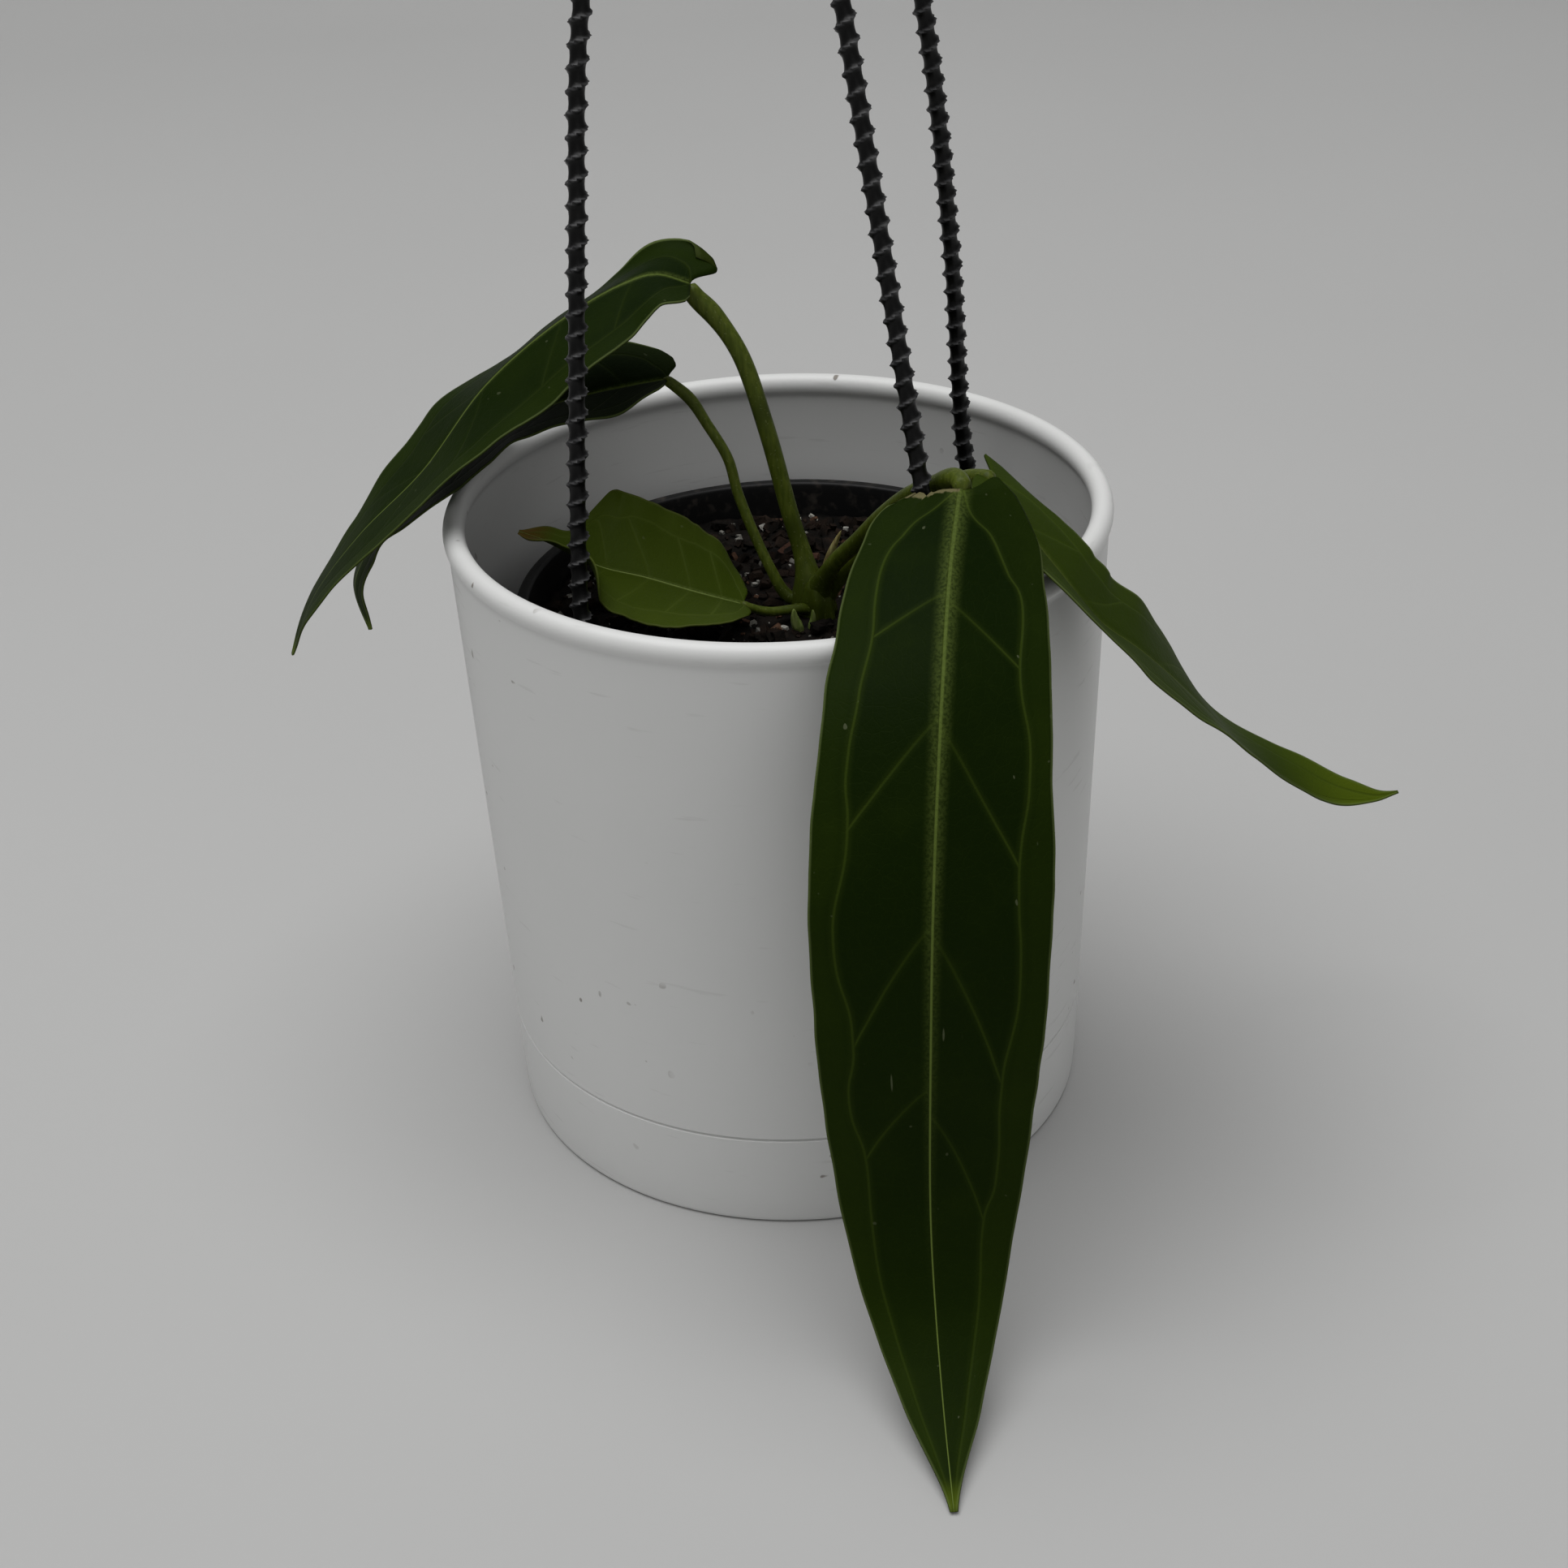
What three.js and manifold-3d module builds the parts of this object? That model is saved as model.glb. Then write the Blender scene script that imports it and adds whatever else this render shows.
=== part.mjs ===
// A potted anthurium: a white cover pot, a black nursery pot clipped to a three-strand hanger, the potting
// mix, and a plant with five strap-shaped leaves. Millimetres, +Z up, origin under the middle of the pot.
import * as THREE from 'three';
import { mergeVertices } from 'three/addons/utils/BufferGeometryUtils.js';
import Module from 'manifold-3d';

const wasm = await Module();
wasm.setup();

// Clearance between pieces that touch.
const GAP = 0.3;

// White cover pot: a tapered tub with a rolled rim and a fine line moulded round its foot.
const COVER = {
  height: 173, rimRadius: 85, footRadius: 78.5, wall: 3.2, bead: 5, floor: 3, grooveHeight: 28,
};

// Black nursery pot, standing on the cover pot's floor a little off its middle.
const NURSERY = {
  middle: [1, 1], bottom: COVER.floor + GAP, top: 146, rimRadius: 70, footRadius: 52, wall: 1.3,
  lipWidth: 3.6, lipHeight: 9, floor: 1.6, drainHoles: 8, drainRadius: 4, drainCircle: 40,
};

// Potting mix, heaped slightly towards the plant.
const MIX = { edge: 137.5, crown: 139.5 };

// The plant's short stem, rooted in the mix.
const CROWN = { middle: [9.2, 2.2], bottom: 112, shoulder: 144, top: 149, radius: 5.2 };

// Half-width of a blade, as a share of its widest, at even steps from the sinus to the tip.
const BLADE_OUTLINE = [0.6, 0.86, 0.94, 0.98, 1, 0.96, 0.88, 0.77, 0.6, 0.33, 0.03];
const BLADE_THICKNESS = 0.9;
const SEGMENTS = { across: 6, along: 24 };

// Each leaf: its petiole's route and thickness, its midrib from sinus to tip, how far its two basal lobes
// reach back, the way its width runs, and how far its two halves droop from that, in degrees. Lists for a
// width, an outline or a droop hold values at even steps from the sinus to the tip.
const LEAVES = {
  left_upper: {
    petiole: [[7.5, 4.5, 146], [6, 6.5, 153], [3.3, 8.5, 163], [-2, 12, 186], [-7.8, 16.5, 204.5],
      [-13.8, 19, 214], [-18.3, 20, 218.8]],
    petioleRadius: 2.2,
    midrib: [[-19.4, 20, 222.5], [-28, 20, 225.3], [-37, 19, 223.3], [-54, 15, 215], [-72, 9, 202],
      [-89, 1, 183], [-106, -6, 169], [-119, -10, 154], [-126, -12, 139.5]],
    halfWidth: [24, 24], lobes: [6, 0], across: [[0, -1, 0]],
    droop: [[-30, 8, 13, 9, -9, -8, 0, 0, -15], [3, 20, 22, 25, 13, 2, 4, 0, 0]],
    outline: [0.62, 0.74, 0.92, 0.98, 1, 0.97, 0.9, 0.82, 0.69, 0.48, 0.03],
  },
  left_lower: {
    petiole: [[7, 3.5, 141], [1.6, 4.5, 141.5], [-3, 7, 150], [-10, 14, 167], [-12.3, 17, 176],
      [-17.5, 21, 184.5], [-21.2, 23.5, 190], [-24.6, 24.5, 193]],
    petioleRadius: 1.5,
    midrib: [[-26.9, 25, 195.5], [-35, 26, 194], [-47, 27, 191.5], [-60, 27, 188], [-71, 26, 183.5],
      [-84, 23, 176], [-97, 19, 165], [-107, 16, 156], [-112, 12, 146], [-109, 9, 135]],
    halfWidth: [18, 18], lobes: [2, 0],
    across: [[0, -1, 0], [0, -1, 0], [0, -1, 0], [0.1, -1, 0], [0.5, -0.85, 0]],
    droop: [[-21, -28, -20, -8, 2, 8, 11, 12, 11], [-5, 4, -2, -1, 6, 4, -6, 2, 15]],
  },
  young: {
    petiole: [[7, 0, 141], [2.5, -3, 141.5], [-3.5, -5.5, 142.5], [-8.4, -7, 144.8]],
    petioleRadius: 1.1,
    midrib: [[-9.7, -7, 145.7], [-21, -8, 150], [-34.5, -8, 155], [-45.5, -8, 158.4], [-53.4, -8, 163],
      [-59.2, -7, 166], [-65.7, -6, 168.3]],
    halfWidth: [22, 22], lobes: [1, 1],
    across: [[0, -1, -0.2], [0, -1, -0.5], [0, -1, -0.6], [0, -1, -0.3]],
    droop: [[-2, -5, -3, -4, -8, -10, -10, -5, 0], [-23, -25, -23, -22, -26, -34, -55, -50, 0]],
    outline: [0.5, 0.84, 0.95, 1, 1, 1, 1.02, 0.98, 0.32, 0.22, 0.03],
  },
  front: {
    petiole: [[9.5, 1, 146], [13.4, -4, 154], [19.8, -14, 165.5], [26, -25, 177.5], [32, -36, 187.5],
      [37.6, -44, 193.5], [42.4, -50, 198], [42.8, -54, 197.2]],
    petioleRadius: 2.3,
    midrib: [[42, -55, 197], [38, -77, 187.5], [34, -104, 170], [30.5, -124, 134], [29, -131, 92],
      [28.5, -133, 47], [29, -140, 24], [29.5, -158, 9], [30, -181, 0.9]],
    halfWidth: [28, 28], lobes: [1.5, 8], across: [[1, 0.12, 0], [1, 0, 0], [1, 0, 0]],
    droop: [[24, 14, 6, 4], [24, 14, 6, 4]],
    outline: [0.7, 0.88, 0.94, 0.98, 1, 0.96, 0.88, 0.77, 0.6, 0.33, 0.03],
  },
  right: {
    petiole: [[12, 2.5, 143], [20, -2, 155], [34, -14, 175], [44, -26, 186], [49, -32, 189]],
    petioleRadius: 2,
    midrib: [[51, -35, 190.5], [58, -48.5, 183.3], [66.5, -58.5, 174.3], [74.6, -60.5, 164], [84.2, -58, 155],
      [92.3, -54, 145.7], [100.8, -50, 135.1], [112.2, -46, 121], [125.8, -42, 107.4], [137.5, -38, 98.7],
      [150.4, -33, 94.5], [158, -29, 94]],
    halfWidth: [11, 18], lobes: [2, 9],
    across: [[0.5, 0.87, 0], [0.1, 1, 0], [0, 1, 0], [0, 1, 0], [0, 1, 0]],
    droop: [[20, 2, -11, 2, -1, -13, -14, -21, -29], [14, -4, -15, -14, -4, 8, -8, -36, -50]],
  },
};

// A papery scale leaf beside the front petiole, and a new shoot at the foot of the stem.
const CATAPHYLL = { root: [12, 5.5, 148.5], tip: [16, -2, 163], radius: 1.4 };
const SHOOT = { root: [4.4, -8, 140], tip: [3, -9.5, 145], radius: 1.6 };

// Hanger: three ribbed strands, each clipped over the nursery pot's rim, meeting in a hub with a hook.
const STRAND_RADIUS = 2.4;
const HUB = { bottom: 412, height: 16, radius: 11, socketCircle: 6.2, socketDepth: 8, topRadius: 3.4 };
const HOOK = { wire: 2.5, radius: 15, stem: 8, sweep: 235 };
const CLIP = { width: 10, leg: 2, slack: 0.8, innerReach: 4.4, outerReach: 11, boss: 4.2, bossHeight: 7 };
const STRANDS = {
  front_left: {
    angle: -136.5,
    bow: [[-48.5, -42, 168], [-43.3, -30, 250.5], [-38.5, -20, 303], [-23, -10, 365]],
  },
  front_right: {
    angle: -54.5,
    bow: [[36.5, -51.5, 175], [26.3, -40, 247], [18.5, -30, 302.5], [11, -17, 360]],
  },
  back_right: {
    angle: 39.5,
    bow: [[50.5, 38, 168], [46.6, 30, 227], [39.2, 20, 290], [23, 10, 360]],
  },
};

const whitePlastic = new THREE.MeshStandardMaterial({ color: 0xe6e6e2, roughness: 0.42, metalness: 0 });
const blackPlastic = new THREE.MeshStandardMaterial({ color: 0x141416, roughness: 0.4, metalness: 0 });
const bark = new THREE.MeshStandardMaterial({ color: 0x2a1c16, roughness: 0.95, metalness: 0 });
const leafGreen = new THREE.MeshStandardMaterial({ color: 0x16260c, roughness: 0.5, metalness: 0 });
const youngGreen = new THREE.MeshStandardMaterial({ color: 0x38480f, roughness: 0.45, metalness: 0 });
const stemGreen = new THREE.MeshStandardMaterial({ color: 0x44561c, roughness: 0.5, metalness: 0 });
const dryScale = new THREE.MeshStandardMaterial({ color: 0x9a7a58, roughness: 0.8, metalness: 0 });

const plant = new THREE.Group();

function addPiece(name, geometry, material, position = [0, 0, 0]) {
  const piece = new THREE.Mesh(geometry, material);
  piece.name = name;
  piece.position.set(...position);
  plant.add(piece);
  return piece;
}

function vectors(points) {
  return points.map((point) => new THREE.Vector3(...point));
}

// A closed mesh as a solid that can be cut and joined.
function toSolid(geometry) {
  const bare = geometry.clone();
  bare.deleteAttribute('normal');
  bare.deleteAttribute('uv');
  const merged = mergeVertices(bare, 1e-4);
  const corners = [];
  for (let i = 0; i < merged.index.count; i += 3) {
    const [a, b, c] = [0, 1, 2].map((k) => merged.index.getX(i + k));
    if (a !== b && b !== c && c !== a) corners.push(a, b, c);
  }
  const vertProperties = new Float32Array(merged.attributes.position.array);
  return new wasm.Manifold(new wasm.Mesh({ numProp: 3, vertProperties, triVerts: new Uint32Array(corners) }));
}

function toGeometry(solid) {
  const mesh = solid.getMesh();
  const geometry = new THREE.BufferGeometry();
  geometry.setAttribute('position', new THREE.BufferAttribute(mesh.vertProperties, 3));
  geometry.setIndex(new THREE.BufferAttribute(mesh.triVerts, 1));
  geometry.computeVertexNormals();
  return geometry;
}

function cut(geometry, ...cutters) {
  let solid = toSolid(geometry);
  for (const cutter of cutters) solid = solid.subtract(toSolid(cutter));
  return toGeometry(solid);
}

// A turned piece about the z axis, from [radius, height] points that run up the outside and down the inside.
function turned(profile, segments) {
  const points = profile.map(([radius, height]) => new THREE.Vector2(radius, height));
  return new THREE.LatheGeometry(points, segments).rotateX(Math.PI / 2);
}

// A round bar of constant thickness along a smooth route.
function bar(route, radius, sides, steps) {
  const section = new THREE.Shape();
  for (let i = 0; i < sides; i += 1) {
    const angle = (2 * Math.PI * i) / sides;
    const [x, y] = [radius * Math.cos(angle), radius * Math.sin(angle)];
    if (i === 0) section.moveTo(x, y);
    else section.lineTo(x, y);
  }
  const extrudePath = new THREE.CatmullRomCurve3(vectors(route), false, 'centripetal');
  return new THREE.ExtrudeGeometry(section, { steps, extrudePath, bevelEnabled: false });
}

// A pointed bud-like piece from its root to its tip.
function bud({ root, tip, radius }) {
  const [from, to] = vectors([root, tip]);
  const length = from.distanceTo(to);
  const profile = [[0, 0], [radius, 0.08], [radius, 0.45], [radius * 0.6, 0.75], [0, 1]];
  const points = profile.map(([r, share]) => new THREE.Vector2(r, share * length));
  const geometry = new THREE.LatheGeometry(points, 10);
  const way = to.sub(from).normalize();
  const turn = new THREE.Quaternion().setFromUnitVectors(new THREE.Vector3(0, 1, 0), way);
  return geometry.applyQuaternion(turn).translate(...root);
}

function makeCoverPot() {
  const { height, rimRadius, footRadius, wall, bead, floor, grooveHeight } = COVER;
  const outerTop = rimRadius - 1;
  const taper = (outerTop - footRadius) / (height - 6);
  const outside = (z) => footRadius + taper * z;
  const profile = [
    [0, 0], [footRadius - 2, 0], [footRadius - 0.5, 0.6], [outside(2.2), 2.2],
    [outside(grooveHeight - 0.5), grooveHeight - 0.5], [outside(grooveHeight) - 0.5, grooveHeight],
    [outside(grooveHeight + 0.5), grooveHeight + 0.5], [outside(height - 5.5), height - 5.5],
    [rimRadius - 0.2, height - 4], [rimRadius, height - 2.2], [rimRadius - 0.8, height - 0.6],
    [rimRadius - bead / 2, height], [rimRadius - bead + 0.8, height - 0.6], [rimRadius - bead, height - 2.2],
    [outside(height - 6) - wall, height - 6], [outside(8) - wall, 8],
    [outside(4) - wall - 3, floor + 0.6], [outside(4) - wall - 6, floor], [0, floor],
  ];
  addPiece('cover_pot', turned(profile, 56), whitePlastic);
}

// Radius of the nursery pot's outside at a height above its own foot.
function nurseryOutside(z) {
  const tall = NURSERY.top - NURSERY.bottom;
  const underLip = NURSERY.rimRadius - NURSERY.lipWidth + NURSERY.wall;
  return NURSERY.footRadius + ((underLip - NURSERY.footRadius) * z) / tall;
}

function makeNurseryPot() {
  const { rimRadius, footRadius, wall, lipWidth, lipHeight, floor } = NURSERY;
  const { drainHoles, drainRadius, drainCircle } = NURSERY;
  const tall = NURSERY.top - NURSERY.bottom;
  const profile = [
    [0, 0], [footRadius - 1, 0], [nurseryOutside(1), 1], [nurseryOutside(tall - lipHeight), tall - lipHeight],
    [rimRadius, tall - lipHeight], [rimRadius, tall - 0.8], [rimRadius - 0.8, tall],
    [rimRadius - lipWidth + 0.4, tall], [nurseryOutside(tall) - wall, tall - 0.4],
    [nurseryOutside(floor) - wall, floor], [0, floor],
  ];
  const holes = [];
  for (let i = 0; i < drainHoles; i += 1) {
    const angle = (2 * Math.PI * i) / drainHoles;
    const hole = new THREE.CylinderGeometry(drainRadius, drainRadius, 4 * floor, 12).rotateX(Math.PI / 2);
    holes.push(hole.translate(drainCircle * Math.cos(angle), drainCircle * Math.sin(angle), 0));
  }
  const place = [...NURSERY.middle, NURSERY.bottom];
  addPiece('nursery_pot', cut(turned(profile, 48), ...holes), blackPlastic, place);
}

// The stem, or the space it takes when clearance is added.
function crownShape(clearance) {
  const { bottom, shoulder, top, radius } = CROWN;
  const r = radius + clearance;
  const profile = [
    [0, bottom - clearance], [r * 0.55, bottom + 1 - clearance], [r, bottom + 14], [r, shoulder],
    [r * 0.75, top - 1 + clearance], [0, top + clearance],
  ];
  return turned(profile, 16).translate(...CROWN.middle, 0);
}

function makePottingMix() {
  const { bottom, floor, wall, middle } = NURSERY;
  const base = bottom + floor + GAP;
  const inside = (z) => nurseryOutside(z - bottom) - wall - GAP;
  const profile = [
    [0, base], [inside(base), base], [inside(MIX.edge), MIX.edge], [inside(MIX.edge) - 12, MIX.edge + 0.4],
    [30, MIX.crown - 0.3], [0, MIX.crown],
  ];
  addPiece('potting_mix', cut(turned(profile, 40).translate(...middle, 0), crownShape(GAP)), bark);
}

// A smooth value between numbers that lie at even steps from 0 to 1.
function between(values, t) {
  if (values.length === 1) return values[0];
  return new THREE.SplineCurve(values.map((value, i) => new THREE.Vector2(i, value))).getPoint(t).y;
}

// A strap blade: a slab whose length follows the midrib and whose back edge makes the two rounded lobes.
function bladeShape({ midrib, halfWidth, lobes, across, droop, outline = BLADE_OUTLINE }) {
  const spine = new THREE.CatmullRomCurve3(vectors(midrib), false, 'centripetal');
  const back = spine.getTangentAt(0).negate();
  const slab = new THREE.BoxGeometry(2, 1, 1, SEGMENTS.across, SEGMENTS.along, 1);
  const corner = slab.attributes.position;
  for (let i = 0; i < corner.count; i += 1) {
    const u = corner.getX(i);
    const v = corner.getY(i) + 0.5;
    const along = spine.getTangentAt(v);
    const width = new THREE.Vector3(...[0, 1, 2].map((axis) => between(across.map((way) => way[axis]), v)));
    width.addScaledVector(along, -width.dot(along)).normalize();
    const down = width.clone().cross(along);
    const half = u < 0 ? 0 : 1;
    const angle = THREE.MathUtils.degToRad(between(droop[half], v));
    const reach = halfWidth[half] * between(outline, v) * u;
    const point = spine.getPointAt(v);
    point.addScaledVector(width, reach * Math.cos(angle));
    point.addScaledVector(down, Math.abs(reach) * Math.sin(angle) + corner.getZ(i) * BLADE_THICKNESS);
    point.addScaledVector(back, lobes[half] * Math.sin(Math.PI * u * u) * Math.max(0, 1 - 5 * v) ** 2);
    corner.setXYZ(i, point.x, point.y, point.z);
  }
  return slab;
}

function makePlant() {
  addPiece('plant_crown', crownShape(0), stemGreen);
  for (const [name, leaf] of Object.entries(LEAVES)) {
    const stalk = bar(leaf.petiole, leaf.petioleRadius, 8, 14);
    const room = bar(leaf.petiole, leaf.petioleRadius + GAP, 8, 14);
    addPiece(`petiole_${name}`, cut(stalk, crownShape(GAP)), stemGreen);
    addPiece(`leaf_${name}`, cut(bladeShape(leaf), room), name === 'young' ? youngGreen : leafGreen);
  }
  addPiece('cataphyll', bud(CATAPHYLL), dryScale);
  addPiece('young_shoot', bud(SHOOT), youngGreen);
}

// Point on the nursery pot's rim, half way across its lip, at a bearing in degrees.
function rimPoint(angle, z) {
  const bearing = THREE.MathUtils.degToRad(angle);
  const radius = NURSERY.rimRadius - NURSERY.lipWidth / 2;
  return [NURSERY.middle[0] + radius * Math.cos(bearing), NURSERY.middle[1] + radius * Math.sin(bearing), z];
}

// A hooked clip over the rim, with a boss that holds the foot of a strand.
function clipShape(angle, strand) {
  const { width, leg, innerReach, outerReach, boss, bossHeight } = CLIP;
  const half = NURSERY.lipWidth / 2 + GAP;
  const inner = half + CLIP.slack;
  const outline = new THREE.Shape();
  outline.moveTo(half, 0);
  outline.lineTo(half, -outerReach);
  outline.lineTo(half + leg, -outerReach);
  outline.lineTo(half + leg, leg);
  outline.lineTo(-inner - leg, leg);
  outline.lineTo(-inner - leg, -innerReach);
  outline.lineTo(-inner, -innerReach);
  outline.lineTo(-inner, 0);
  const saddle = new THREE.ExtrudeGeometry(outline, { depth: width, bevelEnabled: false });
  saddle.translate(0, 0, -width / 2).rotateX(Math.PI / 2);
  const post = new THREE.CylinderGeometry(boss * 0.85, boss, bossHeight, 16).rotateX(Math.PI / 2);
  post.translate(0, 0, leg / 2 + bossHeight / 2);
  const whole = toGeometry(toSolid(saddle).add(toSolid(post)));
  whole.rotateZ(THREE.MathUtils.degToRad(angle)).translate(...rimPoint(angle, NURSERY.top + GAP));
  return cut(whole, strand);
}

function makeHanger() {
  const { bottom, height, radius, socketCircle, socketDepth, topRadius } = HUB;
  const sockets = [];
  for (const [name, { angle, bow }] of Object.entries(STRANDS)) {
    const bearing = THREE.MathUtils.degToRad(angle);
    const top = [socketCircle * Math.cos(bearing), socketCircle * Math.sin(bearing)];
    const route = [
      rimPoint(angle, NURSERY.top + GAP + CLIP.leg + 1.5), ...bow,
      [...top, bottom - 14], [...top, bottom + socketDepth - GAP],
    ];
    const deeper = [rimPoint(angle, NURSERY.top + CLIP.leg + 1.5), ...bow, [...top, bottom - 14],
      [...top, bottom + socketDepth]];
    const room = bar(deeper, STRAND_RADIUS + GAP, 8, 36);
    sockets.push(room);
    addPiece(`hanger_strand_${name}`, bar(route, STRAND_RADIUS, 8, 36), blackPlastic);
    addPiece(`hanger_clip_${name}`, clipShape(angle, room), blackPlastic);
  }
  const profile = [
    [0, bottom], [radius - 1, bottom], [radius, bottom + 1], [radius, bottom + height * 0.6],
    [radius * 0.6, bottom + height], [topRadius, bottom + height], [topRadius, bottom + height - 6],
    [0, bottom + height - 6],
  ];
  addPiece('hanger_hub', cut(turned(profile, 24), ...sockets), blackPlastic);
}

// A hook rising from the hub: a straight stem, then an open round bend.
function makeHook() {
  const { wire, radius, stem, sweep } = HOOK;
  const foot = HUB.bottom + HUB.height - 6 + GAP;
  const middle = foot + stem + 6 + radius;
  const route = [[0, 0, foot], [0, 0, foot + stem]];
  const bends = 9;
  for (let i = 0; i <= bends; i += 1) {
    const angle = THREE.MathUtils.degToRad(-65 + (sweep * i) / bends);
    route.push([radius * Math.cos(angle), 0, middle + radius * Math.sin(angle)]);
  }
  addPiece('hanger_hook', bar(route, wire, 10, 48), blackPlastic);
}

makeCoverPot();
makeNurseryPot();
makePottingMix();
makePlant();
makeHanger();
makeHook();

export default plant;
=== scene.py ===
# %% [markdown]
# # A potted anthurium
# A strap-leaf anthurium grows in a thin black nursery pot. A hanger of three ribbed plastic strands is
# clipped to the nursery pot's rim, and the whole thing stands inside a white cover pot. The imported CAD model
# gives every place and size, so the script starts by loading it, and each visible piece is then made around
# it. Lengths are in metres, and MM lets the smaller ones be written as they would be on a drawing.

# %% Load the frame
import math
import random

import bmesh
import bpy
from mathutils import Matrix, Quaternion, Vector, geometry, noise


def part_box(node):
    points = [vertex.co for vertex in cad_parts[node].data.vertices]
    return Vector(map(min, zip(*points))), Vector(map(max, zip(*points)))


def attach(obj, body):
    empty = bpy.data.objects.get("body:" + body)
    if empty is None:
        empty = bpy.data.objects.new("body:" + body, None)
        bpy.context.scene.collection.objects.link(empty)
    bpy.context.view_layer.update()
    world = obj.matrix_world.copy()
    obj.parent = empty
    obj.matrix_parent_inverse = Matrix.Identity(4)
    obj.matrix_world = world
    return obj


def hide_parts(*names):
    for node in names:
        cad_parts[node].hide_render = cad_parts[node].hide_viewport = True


MM = 0.001
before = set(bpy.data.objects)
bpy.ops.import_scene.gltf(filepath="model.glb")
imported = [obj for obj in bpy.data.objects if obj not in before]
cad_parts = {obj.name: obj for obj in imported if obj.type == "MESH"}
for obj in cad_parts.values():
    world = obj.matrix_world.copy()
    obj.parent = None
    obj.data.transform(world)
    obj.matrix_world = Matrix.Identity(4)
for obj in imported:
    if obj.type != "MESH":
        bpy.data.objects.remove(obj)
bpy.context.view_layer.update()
pot_low, pot_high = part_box("cover_pot")
nursery_low, nursery_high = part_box("nursery_pot")
mix_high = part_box("potting_mix")[1]

# %% [markdown]
# ## Camera
# The plant is seen from a little above, with the lens of a phone held about 70 cm away. A long lens from
# further off would flatten the ellipse of the rim, so the distance matters as much as the angle. The camera
# is built from a tilt about X and a small roll about its own axis, which a quaternion product says directly.

# %% Camera
CAMERA_PLACE = (-1.4 * MM, -585 * MM, 434 * MM)
CAMERA_PITCH = 30.65
CAMERA_ROLL = 2.47
LENS = 57.52
SENSOR_WIDTH = 36

view = bpy.data.cameras.new("view")
view.lens = LENS
view.sensor_width = SENSOR_WIDTH
camera = bpy.data.objects.new("camera", view)
tilt = Quaternion((1, 0, 0), math.radians(90 - CAMERA_PITCH))
roll = Quaternion((0, 0, 1), math.radians(-CAMERA_ROLL))
camera.rotation_mode = "QUATERNION"
camera.rotation_quaternion = tilt @ roll
camera.location = CAMERA_PLACE
bpy.context.scene.collection.objects.link(camera)
bpy.context.scene.camera = camera
print("camera looks down by", CAMERA_PITCH, "degrees")

# %% [markdown]
# ## Shader maths
# A procedural finish is mostly arithmetic on positions, and node trees hide arithmetic. Wrapping a socket in
# a small class whose operators add Math nodes lets a mask be written as a sum. One method, `add`, makes any
# other node: its settings go first, because some of them change which sockets the node has.

# %% A socket that can be used in sums
class Flow:
    """One output of a shader node. Python operators on it add Math nodes to its tree."""

    def __init__(self, tree, output=None):
        self.tree = tree
        self.output = output

    def add(self, kind, settings=None, sockets=None, output=0):
        """Adds a node: first its settings, then the values or links of its sockets."""
        node = self.tree.nodes.new(kind)
        for name, value in (settings or {}).items():
            if name == "stops":
                set_stops(node.color_ramp, value)
            elif name == "points":
                set_points(node.mapping, value)
            else:
                setattr(node, name, value)
        for name, value in (sockets or {}).items():
            if isinstance(value, Flow):
                self.tree.links.new(value.output, node.inputs[name])
            else:
                node.inputs[name].default_value = value
        return Flow(self.tree, node.outputs[output])

    def math(self, operation, *values):
        return self.add("ShaderNodeMath", {"operation": operation}, dict(enumerate(values)))

    def __add__(self, other):
        return self.math("ADD", self, other)

    def __radd__(self, other):
        return self.math("ADD", other, self)

    def __sub__(self, other):
        return self.math("SUBTRACT", self, other)

    def __rsub__(self, other):
        return self.math("SUBTRACT", other, self)

    def __mul__(self, other):
        return self.math("MULTIPLY", self, other)

    def __truediv__(self, other):
        return self.math("DIVIDE", self, other)

    def __pow__(self, other):
        return self.math("POWER", self, other)

    def __abs__(self):
        return self.math("ABSOLUTE", self)

    def most(self, other):
        return self.math("MAXIMUM", self, other)

    def fade(self, start, end):
        """0 at start and 1 at end, with a soft step between them."""
        settings = {"interpolation_type": "SMOOTHSTEP"}
        return self.add("ShaderNodeMapRange", settings, {"Value": self, "From Min": start, "From Max": end})


def set_stops(ramp, stops):
    while len(ramp.elements) < len(stops):
        ramp.elements.new(1)
    for element, (place, colour) in zip(ramp.elements, stops):
        element.position = place
        element.color = (*colour, 1)


def set_points(mapping, points):
    curve = mapping.curves[0]
    while len(curve.points) < len(points):
        curve.points.new(0.5, 0.5)
    for point, place in zip(curve.points, points):
        point.location = place
    mapping.update()


print("shader maths ready")

# %% [markdown]
# ## Materials: shared parts
# Every finish is one Principled shader. What is the same all over it, such as its sheen, is set on the
# shader's own socket. What changes over the surface, colour, roughness and relief, is worked out by nodes and
# linked to it. Patterns read Object coordinates, in metres, so a noise scale of 100 has features of 10 mm.

# %% Helpers for materials
def start_material(name, **constants):
    """A material, the start of its node maths, and its shader with the constant sockets set."""
    made = bpy.data.materials.new(name)
    made.use_nodes = True
    shader = made.node_tree.nodes["Principled BSDF"]
    for socket, value in constants.items():
        shader.inputs[socket.replace("_", " ")].default_value = value
    return made, Flow(made.node_tree), shader


def end_material(flow, shader, colour, roughness, relief=None, depth=0.1 * MM):
    """Links what varies to the shader; relief goes through a Bump node."""
    flow.tree.links.new(colour.output, shader.inputs["Base Color"])
    flow.tree.links.new(roughness.output, shader.inputs["Roughness"])
    if relief:
        bump = flow.add("ShaderNodeBump", None, {"Height": relief, "Distance": depth, "Strength": 1})
        flow.tree.links.new(bump.output, shader.inputs["Normal"])


def place(flow):
    return flow.add("ShaderNodeTexCoord", output=3)


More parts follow.
